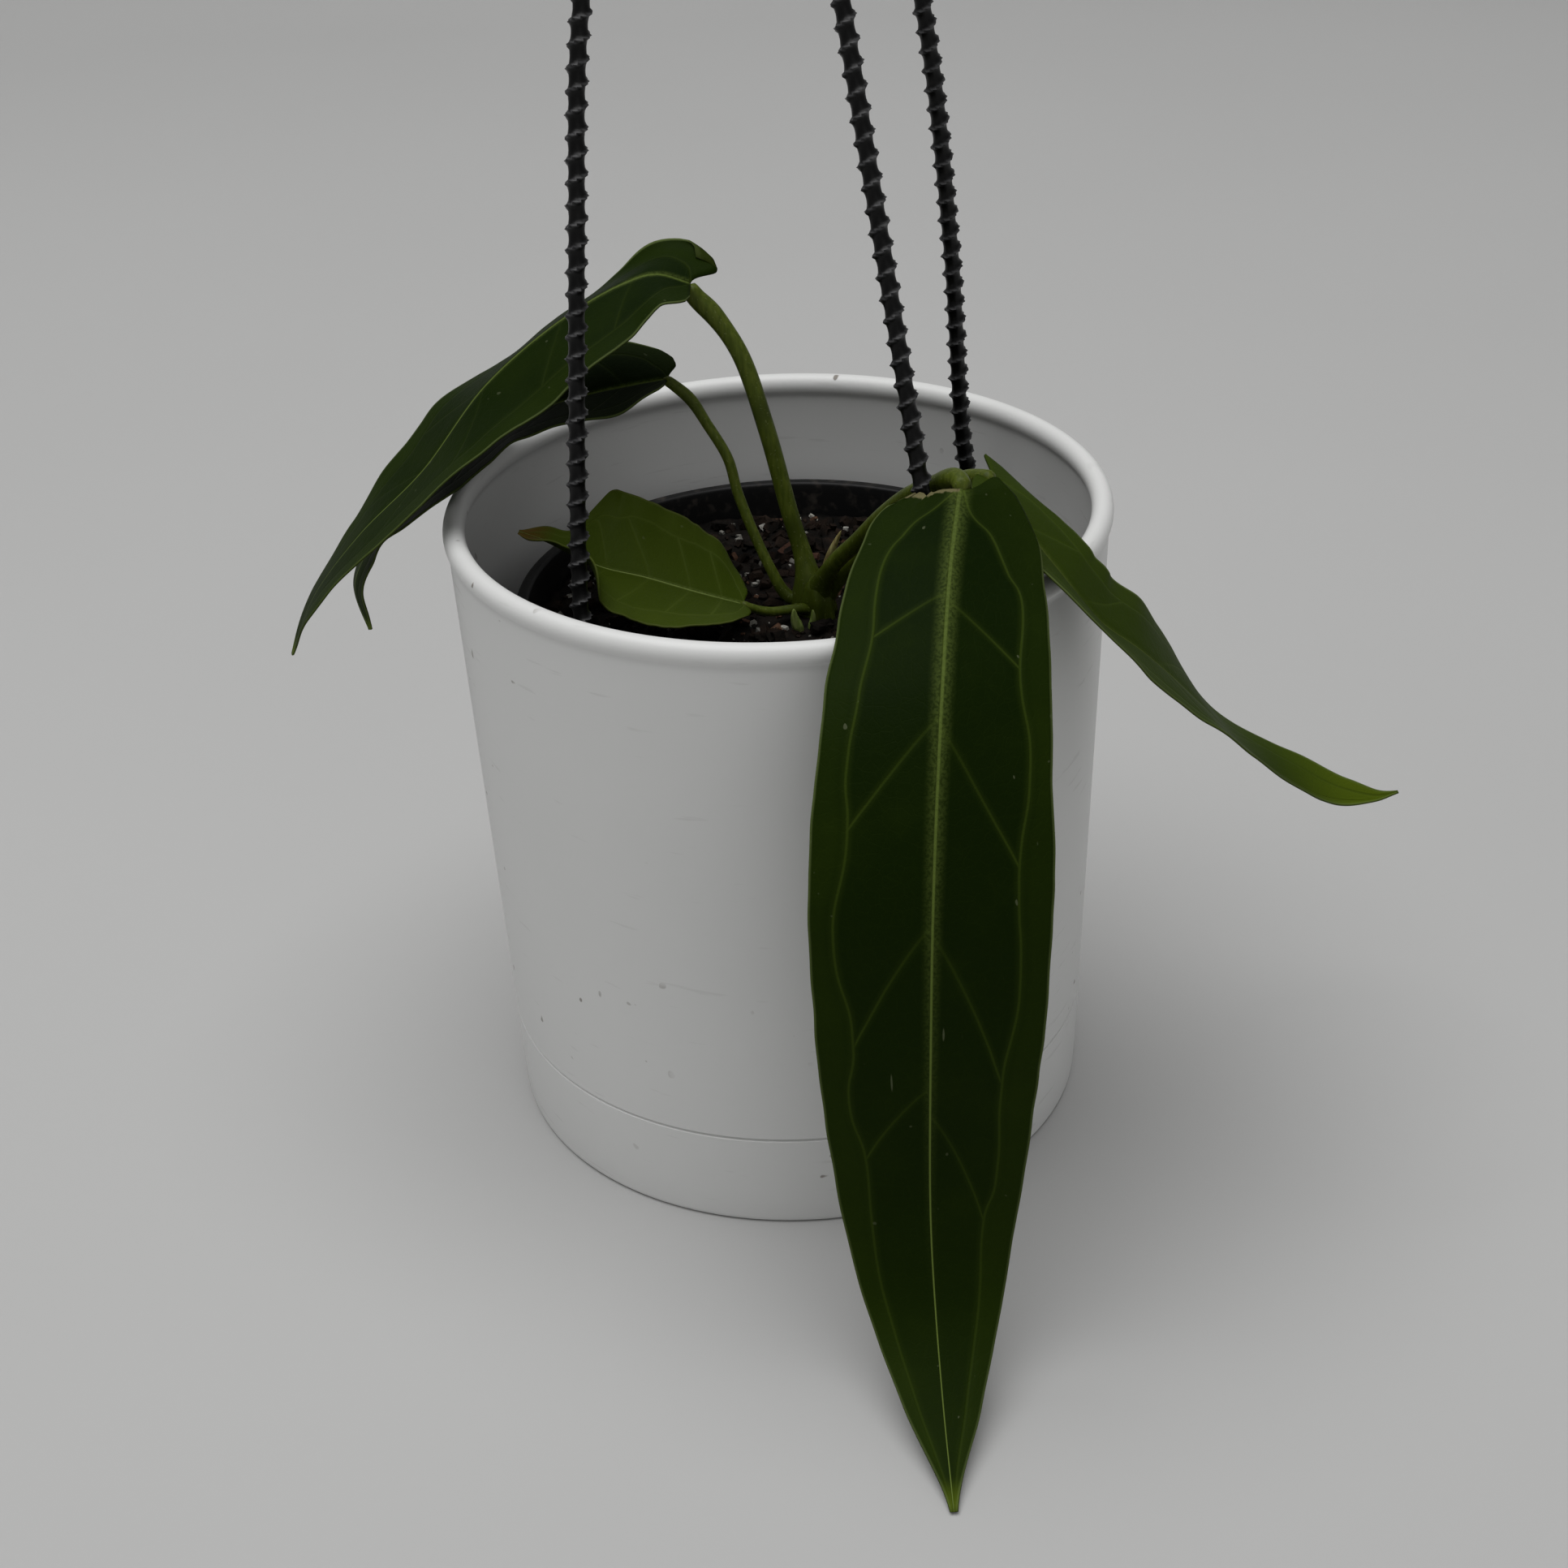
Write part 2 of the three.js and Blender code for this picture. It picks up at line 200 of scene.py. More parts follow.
def mottle(flow, scale, detail=3, roughness=0.5, where=None):
    sockets = {"Scale": scale, "Detail": detail, "Roughness": roughness}
    sockets["Vector"] = where or place(flow)
    return flow.add("ShaderNodeTexNoise", None, sockets)


def stretched(flow, stretch):
    return flow.add("ShaderNodeMapping", None, {"Vector": place(flow), "Scale": stretch})


def blend(flow, first, second, share):
    """Mixes two colours; each is a colour or a link."""
    ends = [end if isinstance(end, Flow) else (*end, 1) for end in (first, second)]
    sockets = {0: share, 6: ends[0], 7: ends[1]}
    return flow.add("ShaderNodeMix", {"data_type": "RGBA"}, sockets, output=2)


print("material helpers ready")

# %% [markdown]
# ## White cover-pot plastic
# The cover pot is moulded polypropylene with a fine satin skin. It is never one even white: the wall carries
# a faint cloudiness, a few hairline scuffs and grains of soil. Noise thresholds make the grains, and noise
# stretched round the pot makes the scuffs.

# %% White plastic
WHITE_DULL = (0.72, 0.725, 0.715)
WHITE_BRIGHT = (0.79, 0.792, 0.78)
SCUFF_GREY = (0.6, 0.6, 0.585)
SOIL_BROWN = (0.16, 0.13, 0.1)


def white_plastic():
    made, flow, shader = start_material("white_satin_plastic", Specular_IOR_Level=0.45)
    cloud = mottle(flow, 14, 4)
    grains = mottle(flow, 210, 1).fade(0.742, 0.775) * mottle(flow, 23, 2).fade(0.5, 0.62)
    scuffs = mottle(flow, 60, 2, where=stretched(flow, (1, 1, 9))).fade(0.66, 0.74)
    body = blend(flow, WHITE_DULL, WHITE_BRIGHT, cloud)
    scuffed = blend(flow, body, SCUFF_GREY, scuffs * 0.35)
    soiled = blend(flow, scuffed, SOIL_BROWN, grains * 0.8)
    skin = mottle(flow, 1400, 2)
    end_material(flow, shader, soiled, 0.34 + cloud * 0.12 + scuffs * 0.12 + grains * 0.3,
                 skin * 0.4 + scuffs * 0.2 + grains * 2, 0.04 * MM)
    return made


white = white_plastic()
print("made", white.name)

# %% [markdown]
# ## Black plastics
# The nursery pot and the hanger are both black polypropylene, but the pot is thin and dull with dust from the
# mix, while the hanger is cleaner and glossier. One function makes both from a tone, a gloss and an amount of
# dust. On the strands the crest of the rib is painted a lighter grey, a painted highlight for the glint that
# light makes on each rib, and an attribute that holds the distance from the strand's middle picks it out.

# %% Black plastics
DUST_BROWN = (0.1, 0.085, 0.07)
# Painted highlight: the grey that stands for the glint of light on the strands' rib crests.
CREST_GLINT_GREY = (0.06, 0.06, 0.062)


def black_plastic(name, tone, gloss, dust, ribbed=False):
    made, flow, shader = start_material(name, Specular_IOR_Level=0.2)
    patch = mottle(flow, 55, 4)
    powder = mottle(flow, 320, 3).fade(0.5, 0.72) * patch.fade(0.35, 0.7) * dust
    worn = blend(flow, (tone, tone, tone * 1.05), (tone * 1.9, tone * 1.9, tone * 1.95), patch)
    dusty = blend(flow, worn, DUST_BROWN, powder)
    if ribbed:
        # The lighter grey on each rib's crest is a painted highlight, the glint that light makes there.
        crest = flow.add("ShaderNodeAttribute", {"attribute_name": "thick"}, output=2).fade(2.1, 2.8)
        dusty = blend(flow, dusty, CREST_GLINT_GREY, crest)
    end_material(flow, shader, dusty, gloss + patch * 0.14 + powder * 0.3, mottle(flow, 900, 2), 0.03 * MM)
    return made


nursery_black = black_plastic("nursery_black_plastic", 0.004, 0.4, 0.35)
hanger_black = black_plastic("hanger_black_plastic", 0.002, 0.2, 0.04)
ribbed_black = black_plastic("ribbed_black_plastic", 0.0015, 0.3, 0.03, ribbed=True)
print("made", nursery_black.name, hanger_black.name, ribbed_black.name)

# %% [markdown]
# ## Potting mix finishes
# The mix is damp bark with crumbs of perlite. Bark chips differ from one to the next, so their colour comes
# from a coarse noise that is nearly even over one chip and different on its neighbour, with a fine grain
# over it.

# %% Bark and perlite
def crumb_material(name, dark, light, grain, bump):
    made, flow, shader = start_material(name, Specular_IOR_Level=0.08)
    piece = mottle(flow, 160, 1).fade(0.35, 0.66)
    fine = mottle(flow, grain, 4, 0.7)
    body = blend(flow, dark, light, piece)
    shaded = blend(flow, body, tuple(0.35 * part for part in dark), fine.fade(0.5, 0.7) * 0.7)
    end_material(flow, shader, shaded, 0.72 + fine * 0.25, fine, bump)
    return made


soil = crumb_material("damp_potting_mix", (0.004, 0.0035, 0.003), (0.013, 0.01, 0.008), 900, 0.6 * MM)
dark_bark = crumb_material("dark_bark", (0.005, 0.004, 0.003), (0.022, 0.014, 0.01), 1200, 0.3 * MM)
red_bark = crumb_material("red_brown_bark", (0.05, 0.024, 0.016), (0.13, 0.072, 0.045), 1100, 0.3 * MM)
perlite = crumb_material("perlite", (0.12, 0.115, 0.1), (0.42, 0.41, 0.37), 1500, 0.2 * MM)
print("made", soil.name, dark_bark.name, red_bark.name, perlite.name)

# %% [markdown]
# ## Green stem finishes
# A petiole is smooth, with fine lines along it and small pale flecks. Its foot, where it sheathes the stem,
# is paler and a little browner, though this finish is the same all along. Stretched noise gives the lines
# without needing a UV map.

# %% Stems
FLECK_GREEN = (0.2, 0.23, 0.08)


def stem_material(name, dark, light, gloss=0.34):
    made, flow, shader = start_material(name, Specular_IOR_Level=0.16, Subsurface_Weight=0.06)
    shader.inputs["Subsurface Radius"].default_value = (0.6 * MM, 1.2 * MM, 0.3 * MM)
    lines = mottle(flow, 260, 3, where=stretched(flow, (4, 4, 0.5)))
    flecks = mottle(flow, 1300, 1).fade(0.66, 0.72)
    body = blend(flow, dark, light, lines.fade(0.3, 0.7))
    patchy = blend(flow, body, tuple(part * 0.72 for part in dark), mottle(flow, 60, 2).fade(0.45, 0.7))
    flecked = blend(flow, patchy, FLECK_GREEN, flecks * 0.3)
    end_material(flow, shader, flecked, gloss + lines * 0.15, lines + flecks * 0.4, 0.12 * MM)
    return made


green_stem = stem_material("green_stem", (0.05, 0.071, 0.005), (0.085, 0.11, 0.012))
new_growth = stem_material("new_growth", (0.14, 0.2, 0.04), (0.3, 0.36, 0.12))
dry_scale = stem_material("dry_scale", (0.22, 0.16, 0.06), (0.42, 0.38, 0.16), 0.6)
print("made", green_stem.name, new_growth.name, dry_scale.name)

# %% [markdown]
# ## Building pieces
# Each piece starts as a bmesh and becomes a mesh object at the origin. The helper merges doubles, turns the
# faces outwards, shades the mesh smooth except across sharp corners, says which body the piece moves with
# and hides the CAD nodes that it stands for.

# %% Helpers for pieces
def add_piece(name, mesh, material, slot, *replaced, crease=40):
    """Turns a bmesh into a finished piece that rides on the root body."""
    bmesh.ops.remove_doubles(mesh, verts=mesh.verts, dist=0.001 * MM)
    bmesh.ops.recalc_face_normals(mesh, faces=mesh.faces)
    for face in mesh.faces:
        face.smooth = True
    data = bpy.data.meshes.new(name)
    mesh.to_mesh(data)
    mesh.free()
    data.set_sharp_from_angle(angle=math.radians(crease))
    data.materials.append(material)
    piece = bpy.data.objects.new(name, data)
    bpy.context.scene.collection.objects.link(piece)
    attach(piece, "root")
    if replaced:
        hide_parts(*replaced)
    print("made", name, "with", len(data.polygons), "faces")
    return piece


def spun(profile, steps, middle=(0, 0, 0)):
    """A turned shape: (radius, height) points spun about a vertical axis through middle."""
    mesh = bmesh.new()
    corners = [mesh.verts.new(Vector(middle) + Vector((radius, 0, height))) for radius, height in profile]
    edges = [mesh.edges.new(pair) for pair in zip(corners, corners[1:])]
    bmesh.ops.spin(mesh, geom=corners + edges, cent=middle, axis=(0, 0, 1), angle=2 * math.pi,
                   steps=steps, use_merge=True)
    return mesh


def arc(middle, size, start, end, count):
    """Points on an elliptical arc, for a profile; the angles are in degrees."""
    angles = [math.radians(start + (end - start) * i / (count - 1)) for i in range(count)]
    return [(middle[0] + size[0] * math.cos(a), middle[1] + size[1] * math.sin(a)) for a in angles]


print("piece helpers ready")

# %% [markdown]
# ## Cover pot
# The pot is a surface of revolution: a wall that leans out a little, a rolled rim, and a fine line moulded
# round its foot. Spinning one profile gives it all in one closed skin. A modelled groove is needed for the
# line, because it has to cast its thin shadow at any distance, and the rim is a true half-round so that its
# highlight runs evenly.

# %% Cover pot
POT_WALL = 3.2 * MM
POT_FLOOR = 3 * MM
FOOT_RADIUS = 78.5 * MM
BEAD = 2.8 * MM
GROOVE_HEIGHT = 28 * MM
GROOVE_DEPTH = 0.9 * MM
FOOT_ROUND = 1.6 * MM
INNER_ROUND = 5 * MM

rim_radius = (pot_high.x - pot_low.x) / 2
pot_height = pot_high.z
wall_lean = (rim_radius - 1 * MM - FOOT_RADIUS) / (pot_height - 6 * MM)


def pot_outside(height):
    return FOOT_RADIUS + wall_lean * height


def make_cover_pot():
    bead_middle = (rim_radius - BEAD, pot_height - BEAD * 1.1)
    inner_foot = pot_outside(8 * MM) - POT_WALL
    profile = [(0, 0.5 * MM), (FOOT_RADIUS - 9 * MM, 0.5 * MM), (FOOT_RADIUS - 8 * MM, 0),
               (FOOT_RADIUS - 2 * MM, 0)]
    profile += arc((FOOT_RADIUS - FOOT_ROUND, 1.8 * MM), (FOOT_ROUND, 1.8 * MM), -80, 0, 6)
    profile += [(pot_outside(h) - dent, h) for h, dent in (
        (8 * MM, 0), (GROOVE_HEIGHT - 0.5 * MM, 0), (GROOVE_HEIGHT - 0.36 * MM, 0.3 * MM),
        (GROOVE_HEIGHT, GROOVE_DEPTH), (GROOVE_HEIGHT + 0.36 * MM, 0.3 * MM), (GROOVE_HEIGHT + 0.5 * MM, 0))]
    straight = [GROOVE_HEIGHT + (pot_height - 7 * MM - GROOVE_HEIGHT) * i / 8 for i in range(1, 9)]
    profile += [(pot_outside(h), h) for h in straight]
    profile += arc(bead_middle, (BEAD, BEAD * 1.1), -50, 232, 22)
    profile += [(pot_outside(h) - POT_WALL, h) for h in reversed(straight)]
    profile += arc((inner_foot - INNER_ROUND, POT_FLOOR + INNER_ROUND), (INNER_ROUND, INNER_ROUND), 0, -90, 7)
    profile += [(0, POT_FLOOR)]
    return add_piece("white_cover_pot", spun(profile, 160), white, "white_plastic", "cover_pot", crease=50)


make_cover_pot()

# %% [markdown]
# ## Nursery pot
# Inside stands the thin pot that the plant was grown in. Only its turned-over lip shows above the mix, but
# the rest is there as well, with the drain holes of its floor, since the pot can be lifted out. The holes
# are cut with a Boolean modifier, which is then applied.

# %% Nursery pot
NURSERY_WALL = 1.1 * MM
LIP_WIDTH = 3.4 * MM
LIP_HEIGHT = 9 * MM
NURSERY_FOOT = 52 * MM
DRAIN_HOLES = 8
DRAIN_RADIUS = 4 * MM
DRAIN_CIRCLE = 40 * MM
FOOT_BEND = 1.2 * MM
LIP_BEND = 0.9 * MM

nursery_middle = (nursery_low + nursery_high) / 2
nursery_rim = (nursery_high.x - nursery_low.x) / 2


def nursery_outside(height):
    share = (height - nursery_low.z) / (nursery_high.z - nursery_low.z)
    under_lip = nursery_rim - LIP_WIDTH + NURSERY_WALL
    return NURSERY_FOOT + (under_lip - NURSERY_FOOT) * share


def drain_cutter():
    mesh = bmesh.new()
    for i in range(DRAIN_HOLES):
        angle = 2 * math.pi * i / DRAIN_HOLES
        hole = bmesh.ops.create_cone(mesh, cap_ends=True, segments=24, radius1=DRAIN_RADIUS,
                                     radius2=DRAIN_RADIUS, depth=8 * MM)
        spot = (nursery_middle.x + DRAIN_CIRCLE * math.cos(angle),
                nursery_middle.y + DRAIN_CIRCLE * math.sin(angle), nursery_low.z)
        bmesh.ops.translate(mesh, verts=hole["verts"], vec=spot)
    data = bpy.data.meshes.new("drain_cutter")
    mesh.to_mesh(data)
    mesh.free()
    return bpy.data.objects.new("drain_cutter", data)


def make_nursery_pot():
    top = nursery_high.z
    under = top - LIP_HEIGHT
    floor = nursery_low.z + 1.6 * MM
    profile = [(0, nursery_low.z), (NURSERY_FOOT - 1.5 * MM, nursery_low.z)]
    profile += arc((NURSERY_FOOT - FOOT_BEND, nursery_low.z + FOOT_BEND), (FOOT_BEND, FOOT_BEND), -80, 0, 5)
    profile += [(nursery_outside(under), under), (nursery_rim - 0.8 * MM, under)]
    profile += [(nursery_rim - 0.2 * MM, under + 0.3 * MM)]
    round_bend = (LIP_BEND, LIP_BEND)
    profile += arc((nursery_rim - LIP_BEND, top - LIP_BEND), round_bend, 0, 90, 6)
    profile += arc((nursery_rim - LIP_WIDTH + LIP_BEND, top - LIP_BEND), round_bend, 90, 170, 6)
    profile += [(nursery_outside(h) - NURSERY_WALL, h) for h in (top - 3 * MM, under, floor + 2 * MM, floor)]
    profile += [(0, floor)]
    middle = (nursery_middle.x, nursery_middle.y, 0)
    pot = add_piece("nursery_pot_shell", spun(profile, 120, middle), nursery_black, "black_plastic",
                    "nursery_pot")
    cutter = drain_cutter()
    bpy.context.scene.collection.objects.link(cutter)
    holes = pot.modifiers.new("drain_holes", "BOOLEAN")
    holes.object = cutter
    holes.solver = "EXACT"
    bpy.context.view_layer.update()
    cut = bpy.data.meshes.new_from_object(pot.evaluated_get(bpy.context.evaluated_depsgraph_get()))
    pot.modifiers.clear()
    pot.data = cut
    bpy.data.objects.remove(cutter)
    print("drain holes cut:", DRAIN_HOLES)


make_nursery_pot()

# %% [markdown]
# ## Potting mix
# The mix is a shallow heap with a rough surface. A spun disc of many rings carries the lumps, which are moved
# by noise in two sizes: coarse for the heap and fine for the crumbs. It dips at the pot's wall, where
# watering washes it down.

# %% Potting mix
MIX_DROP = 1.6 * MM
EDGE_DIP = 1.4 * MM
LUMP = 1.3 * MM
CRUMB = 1.1 * MM
RINGS = 54


def mix_height(x, y):
    """Height of the mix's surface at a point, before the loose chips are laid on it."""
    away = math.hypot(x - nursery_middle.x, y - nursery_middle.y) / nursery_rim
    coarse = noise.noise(Vector((x, y, 0)) * 70) * LUMP
    fine = noise.noise(Vector((x, y, 0.1)) * 260) * CRUMB
    return mix_high.z - MIX_DROP - EDGE_DIP * away ** 3 + coarse + fine


def make_mix():
    inside = nursery_outside(mix_high.z - 2 * MM) - NURSERY_WALL - 0.3 * MM
    low = nursery_low.z + 2 * MM
    profile = [(0, low), (nursery_outside(low) - 2 * MM, low), (inside, mix_high.z - 4 * MM)]
    profile += [(inside * (1 - i / RINGS), mix_high.z) for i in range(RINGS + 1)]
    mesh = spun(profile, 220, (nursery_middle.x, nursery_middle.y, 0))
    for corner in mesh.verts:
        if corner.co.z > mix_high.z - 1 * MM:
            corner.co.z = mix_height(corner.co.x, corner.co.y)
    return add_piece("potting_mix_heap", mesh, soil, "potting_mix", "potting_mix", crease=180)


make_mix()

# %% [markdown]
# ## Loose bark and perlite
# What the eye reads as potting mix is its loose pieces. A chip is a cube cut once each way, pulled out of
# square by random moves and smoothed: 24 faces, so that many hundreds stay light. Each kind has eight chip
# shapes, which are turned and scaled at random places in the pot.

# %% Loose pieces of the mix
CROWN = Vector((9.2, 2.2, 140)) * MM
CROWN_CLEAR = 7 * MM
CHIP_SHAPES = 8
dice = random.Random(11)


def chip_shape(flatness):
    mesh = bmesh.new()
    bmesh.ops.create_cube(mesh, size=1)
    bmesh.ops.subdivide_edges(mesh, edges=mesh.edges, cuts=1, use_grid_fill=True)
    for corner in mesh.verts:
        corner.co += Vector([dice.uniform(-0.16, 0.16) for axis in range(3)])
    bmesh.ops.smooth_vert(mesh, verts=mesh.verts, factor=0.35, use_axis_x=True, use_axis_y=True,
                          use_axis_z=True)
    bmesh.ops.scale(mesh, vec=(1, 0.62, flatness), verts=mesh.verts)
    data = bpy.data.meshes.new("chip_shape")
    mesh.to_mesh(data)
    mesh.free()
    return data


def scatter(name, count, sizes, flatness, material, middle=None, spread=None, tilt=0.7, sink=0.2):
    """Lays chips over the mix, evenly or round one spot, all joined into one piece."""
    shapes = [chip_shape(flatness) for i in range(CHIP_SHAPES)]
    reach = nursery_outside(mix_high.z) - NURSERY_WALL - sizes[1] * 0.62
    mesh = bmesh.new()
    laid = 0
    while laid < count:
        bearing, share = dice.uniform(0, 2 * math.pi), math.sqrt(dice.random())
        away = (spread or reach) * share
        spot = (middle or nursery_middle) + Vector((math.cos(bearing), math.sin(bearing), 0)) * away
        from_middle = math.hypot(spot.x - nursery_middle.x, spot.y - nursery_middle.y)
        if from_middle > reach or math.hypot(spot.x - CROWN.x, spot.y - CROWN.y) < CROWN_CLEAR:
            continue
        size = sizes[0] + (sizes[1] - sizes[0]) * dice.random() ** 2
        spot.z = mix_height(spot.x, spot.y) + size * flatness * (0.5 - sink)
        before = len(mesh.verts)
        mesh.from_mesh(dice.choice(shapes))
        mesh.verts.ensure_lookup_table()
        turn = Quaternion((0, 0, 1), dice.uniform(0, 2 * math.pi))
        lean = Quaternion((dice.uniform(-1, 1), dice.uniform(-1, 1), 0.01), dice.gauss(0, tilt))
        for corner in mesh.verts[before:]:
            corner.co = spot + lean @ (turn @ (corner.co * size))
        laid += 1
    return add_piece(name, mesh, material, "potting_mix", crease=35)


scatter("dark_bark_chips", 1050, (1.4 * MM, 6 * MM), 0.45, dark_bark)
scatter("red_brown_bark_chips", 95, (1.2 * MM, 4.6 * MM), 0.4, red_bark)
scatter("perlite_crumbs", 320, (0.5 * MM, 2.6 * MM), 0.75, perlite)
scatter("chips_by_the_stem", 40, (1.5 * MM, 4 * MM), 0.4, red_bark, CROWN + Vector((8, 8, 0)) * MM, 12 * MM)

# %% [markdown]
# ## Routes and tubes
# Petioles, strands and the hook are all thick lines. A route is a smooth curve through a few points, spaced
# evenly along its length. A tube starts as one circle of vertices, which is extruded ring by ring along the
# route. Each vertex carries its angle round the ring in a custom layer, and extruding copies it, so any
# section that depends on the angle, such as a helical rib, can be made the same way. A second layer keeps the
# distance from the route, in millimetres, for the finish to read.

# %% Helpers for routes and tubes
def smooth_route(points, count):
    """Evenly spaced points on a centripetal Catmull-Rom curve through the given points."""
    ends = [2 * points[0] - points[1], 2 * points[-1] - points[-2]]
    held = [ends[0], *points, ends[1]]
    dense = []
    for a, b, c, d in zip(held, held[1:], held[2:], held[3:]):
        first, span, last = [math.sqrt((q - p).length) for p, q in ((a, b), (b, c), (c, d))]
        leave = ((b - a) / first - (c - a) / (first + span) + (c - b) / span) * span / 3
        reach = ((c - b) / span - (d - b) / (span + last) + (d - c) / last) * span / 3
        dense += geometry.interpolate_bezier(b, b + leave, c - reach, c, 33)[:-1]
    dense.append(points[-1])
    run = [0]
    for p, q in zip(dense, dense[1:]):
        run.append(run[-1] + (q - p).length)
    route, k = [], 0
    for i in range(count + 1):
        want = run[-1] * i / count
        while k < len(dense) - 2 and run[k + 1] < want:
            k += 1
        route.append(dense[k].lerp(dense[k + 1], (want - run[k]) / (run[k + 1] - run[k])))
    return route, run[-1]


def sections(route):
    """The directions across a route at each of its points, carried along without twist."""
    ways = [(q - p).normalized() for p, q in zip(route, route[1:])]
    ways.append(ways[-1])
    side = ways[0].cross(Vector((0.3, 0.9, 0.1))).normalized()
    frames = []
    for way in ways:
        side = (side - way * side.dot(way)).normalized()
        frames.append((side, way.cross(side)))
    return frames


def tube(mesh, route, radius, sides):
    """Adds a closed tube; radius is a function of the share along it and the angle round it."""
    angle = mesh.verts.layers.float.get("angle") or mesh.verts.layers.float.new("angle")
    thick = mesh.verts.layers.float.get("thick") or mesh.verts.layers.float.new("thick")
    ring = bmesh.ops.create_circle(mesh, segments=sides, radius=1, cap_ends=True)["verts"]
    for i, corner in enumerate(ring):
        corner[angle] = 2 * math.pi * i / sides
    last = len(route) - 1
    for step, (side, up) in enumerate(sections(route)):
        if step:
            held = set(ring)
            edges = {edge for corner in ring for edge in corner.link_edges if set(edge.verts) <= held}
            grown = bmesh.ops.extrude_edge_only(mesh, edges=list(edges))["geom"]
            ring = [item for item in grown if isinstance(item, bmesh.types.BMVert)]
        for corner in ring:
            turn = corner[angle]
            across = side * math.cos(turn) + up * math.sin(turn)
            size = radius(step / last, turn)
            corner[thick] = size / MM
            corner.co = route[step] + across * size
    held = set(ring)
    edges = {edge for corner in ring for edge in corner.link_edges if set(edge.verts) <= held}
    bmesh.ops.edgeloop_fill(mesh, edges=list(edges))


def in_mm(points):
    return [Vector(point) * MM for point in points]


def between(values, share):
    """A value that varies smoothly through numbers at even steps from 0 to 1."""
    place_in = share * (len(values) - 1)
    low = min(int(place_in), len(values) - 2) if len(values) > 1 else 0
    near = [values[min(max(low + i, 0), len(values) - 1)] for i in (-1, 0, 1, 2)]
    t = place_in - low
    first, second = (near[2] - near[0]) / 2, (near[3] - near[1]) / 2
    rise = near[2] - near[1]
    square, cube = 3 * rise - 2 * first - second, first + second - 2 * rise
    return near[1] + first * t + square * t ** 2 + cube * t ** 3


print("route helpers ready")

# %% [markdown]
# ## Hanger strands
# Each strand is a stiff moulded bar with one right-handed rib wound round it like a screw. The rib is the
# strand's whole character, so it is real geometry: at each ring of the tube the radius rises where the
# vertex's angle meets the turning rib.

# %% Ribbed strands
STRAND_CORE = 1.95 * MM
RIB_RISE = 0.95 * MM
RIB_PITCH = 5 * MM
RIM_MIDDLE = 68.2 * MM
FOOT_ABOVE_RIM = 4 * MM
SOCKET_CIRCLE = 6.2 * MM
SOCKET_DEPTH = 7.5 * MM
STRAIGHT_INTO_HUB = 14 * MM
HUB_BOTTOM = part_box("hanger_hub")[0].z
STRANDS = {
    "front_left": (-136.5, [(-48.5, -42, 168), (-43.3, -30, 250.5), (-38.5, -20, 303), (-23, -10, 365)]),
    "front_right": (-54.5, [(36.5, -51.5, 175), (26.3, -40, 247), (18.5, -30, 302.5), (11, -17, 360)]),
    "back_right": (39.5, [(50.5, 38, 168), (46.6, 30, 227), (39.2, 20, 290), (23, 10, 360)]),
}


def make_strand(name, bearing, bow):
    turn = Vector((math.cos(math.radians(bearing)), math.sin(math.radians(bearing)), 0))
    foot = Vector((nursery_middle.x, nursery_middle.y, nursery_high.z + FOOT_ABOVE_RIM)) + turn * RIM_MIDDLE
    top = turn * SOCKET_CIRCLE + Vector((0, 0, HUB_BOTTOM))
    up = Vector((0, 0, 1))
    points = [foot, *in_mm(bow), top - up * STRAIGHT_INTO_HUB, top + up * SOCKET_DEPTH]
    route, length = smooth_route(points, 480)

    def radius(share, angle):
        phase = math.cos(angle - 2 * math.pi * share * length / RIB_PITCH)
        return STRAND_CORE + RIB_RISE * max(0, phase) ** 5 - 0.12 * MM * max(0, -phase)

    mesh = bmesh.new()
    tube(mesh, route, radius, 16)
    return add_piece(f"ribbed_strand_{name}", mesh, ribbed_black, "black_plastic", f"hanger_strand_{name}",
                     crease=55)


for strand, (bearing, bow) in STRANDS.items():
    make_strand(strand, bearing, bow)

# %% [markdown]
# ## Hub, hook and clips
# The strands end in a small hub under the hook that the pot hangs by when it isn't standing. The hub is
# spun, with three grip rings, and the hook is one tube with a ball at its free end, so that it can't scratch.
# The clips over the nursery pot's rim are square moulded pieces that the CAD model already has right, so
# they only get their finish.

# %% Hub, hook and clips
GRIP_STEP = 2.6
WIRE = 2.5 * MM
BALL = 3.1 * MM
BEND = 15 * MM
STEM = 8 * MM


def make_hub():
    low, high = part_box("hanger_hub")
    radius = (high.x - low.x) / 2
    profile = [(0, low.z), (radius - 1.4 * MM, low.z)]
    profile += arc((radius - 1.3 * MM, low.z + 1.3 * MM), (1.3 * MM, 1.3 * MM), -70, 0, 5)
    for ring in range(3):
        start = low.z + (GRIP_STEP + GRIP_STEP * ring) * MM
        profile += [(radius - 0.1 * MM, start), (radius - 0.7 * MM, start + 0.5 * MM)]
        profile += [(radius - 0.7 * MM, start + 1.1 * MM), (radius - 0.1 * MM, start + 1.6 * MM)]
    profile += arc((radius * 0.58, high.z - 5.2 * MM), (radius * 0.41, 5.2 * MM), 10, 84, 8)
    profile += [(3.4 * MM, high.z - 0.2 * MM), (3.1 * MM, high.z - 1.5 * MM), (3.1 * MM, high.z - 6 * MM)]
    profile += [(0, high.z - 6 * MM)]
    return add_piece("strand_hub", spun(profile, 64), hanger_black, "black_plastic", "hanger_hub")


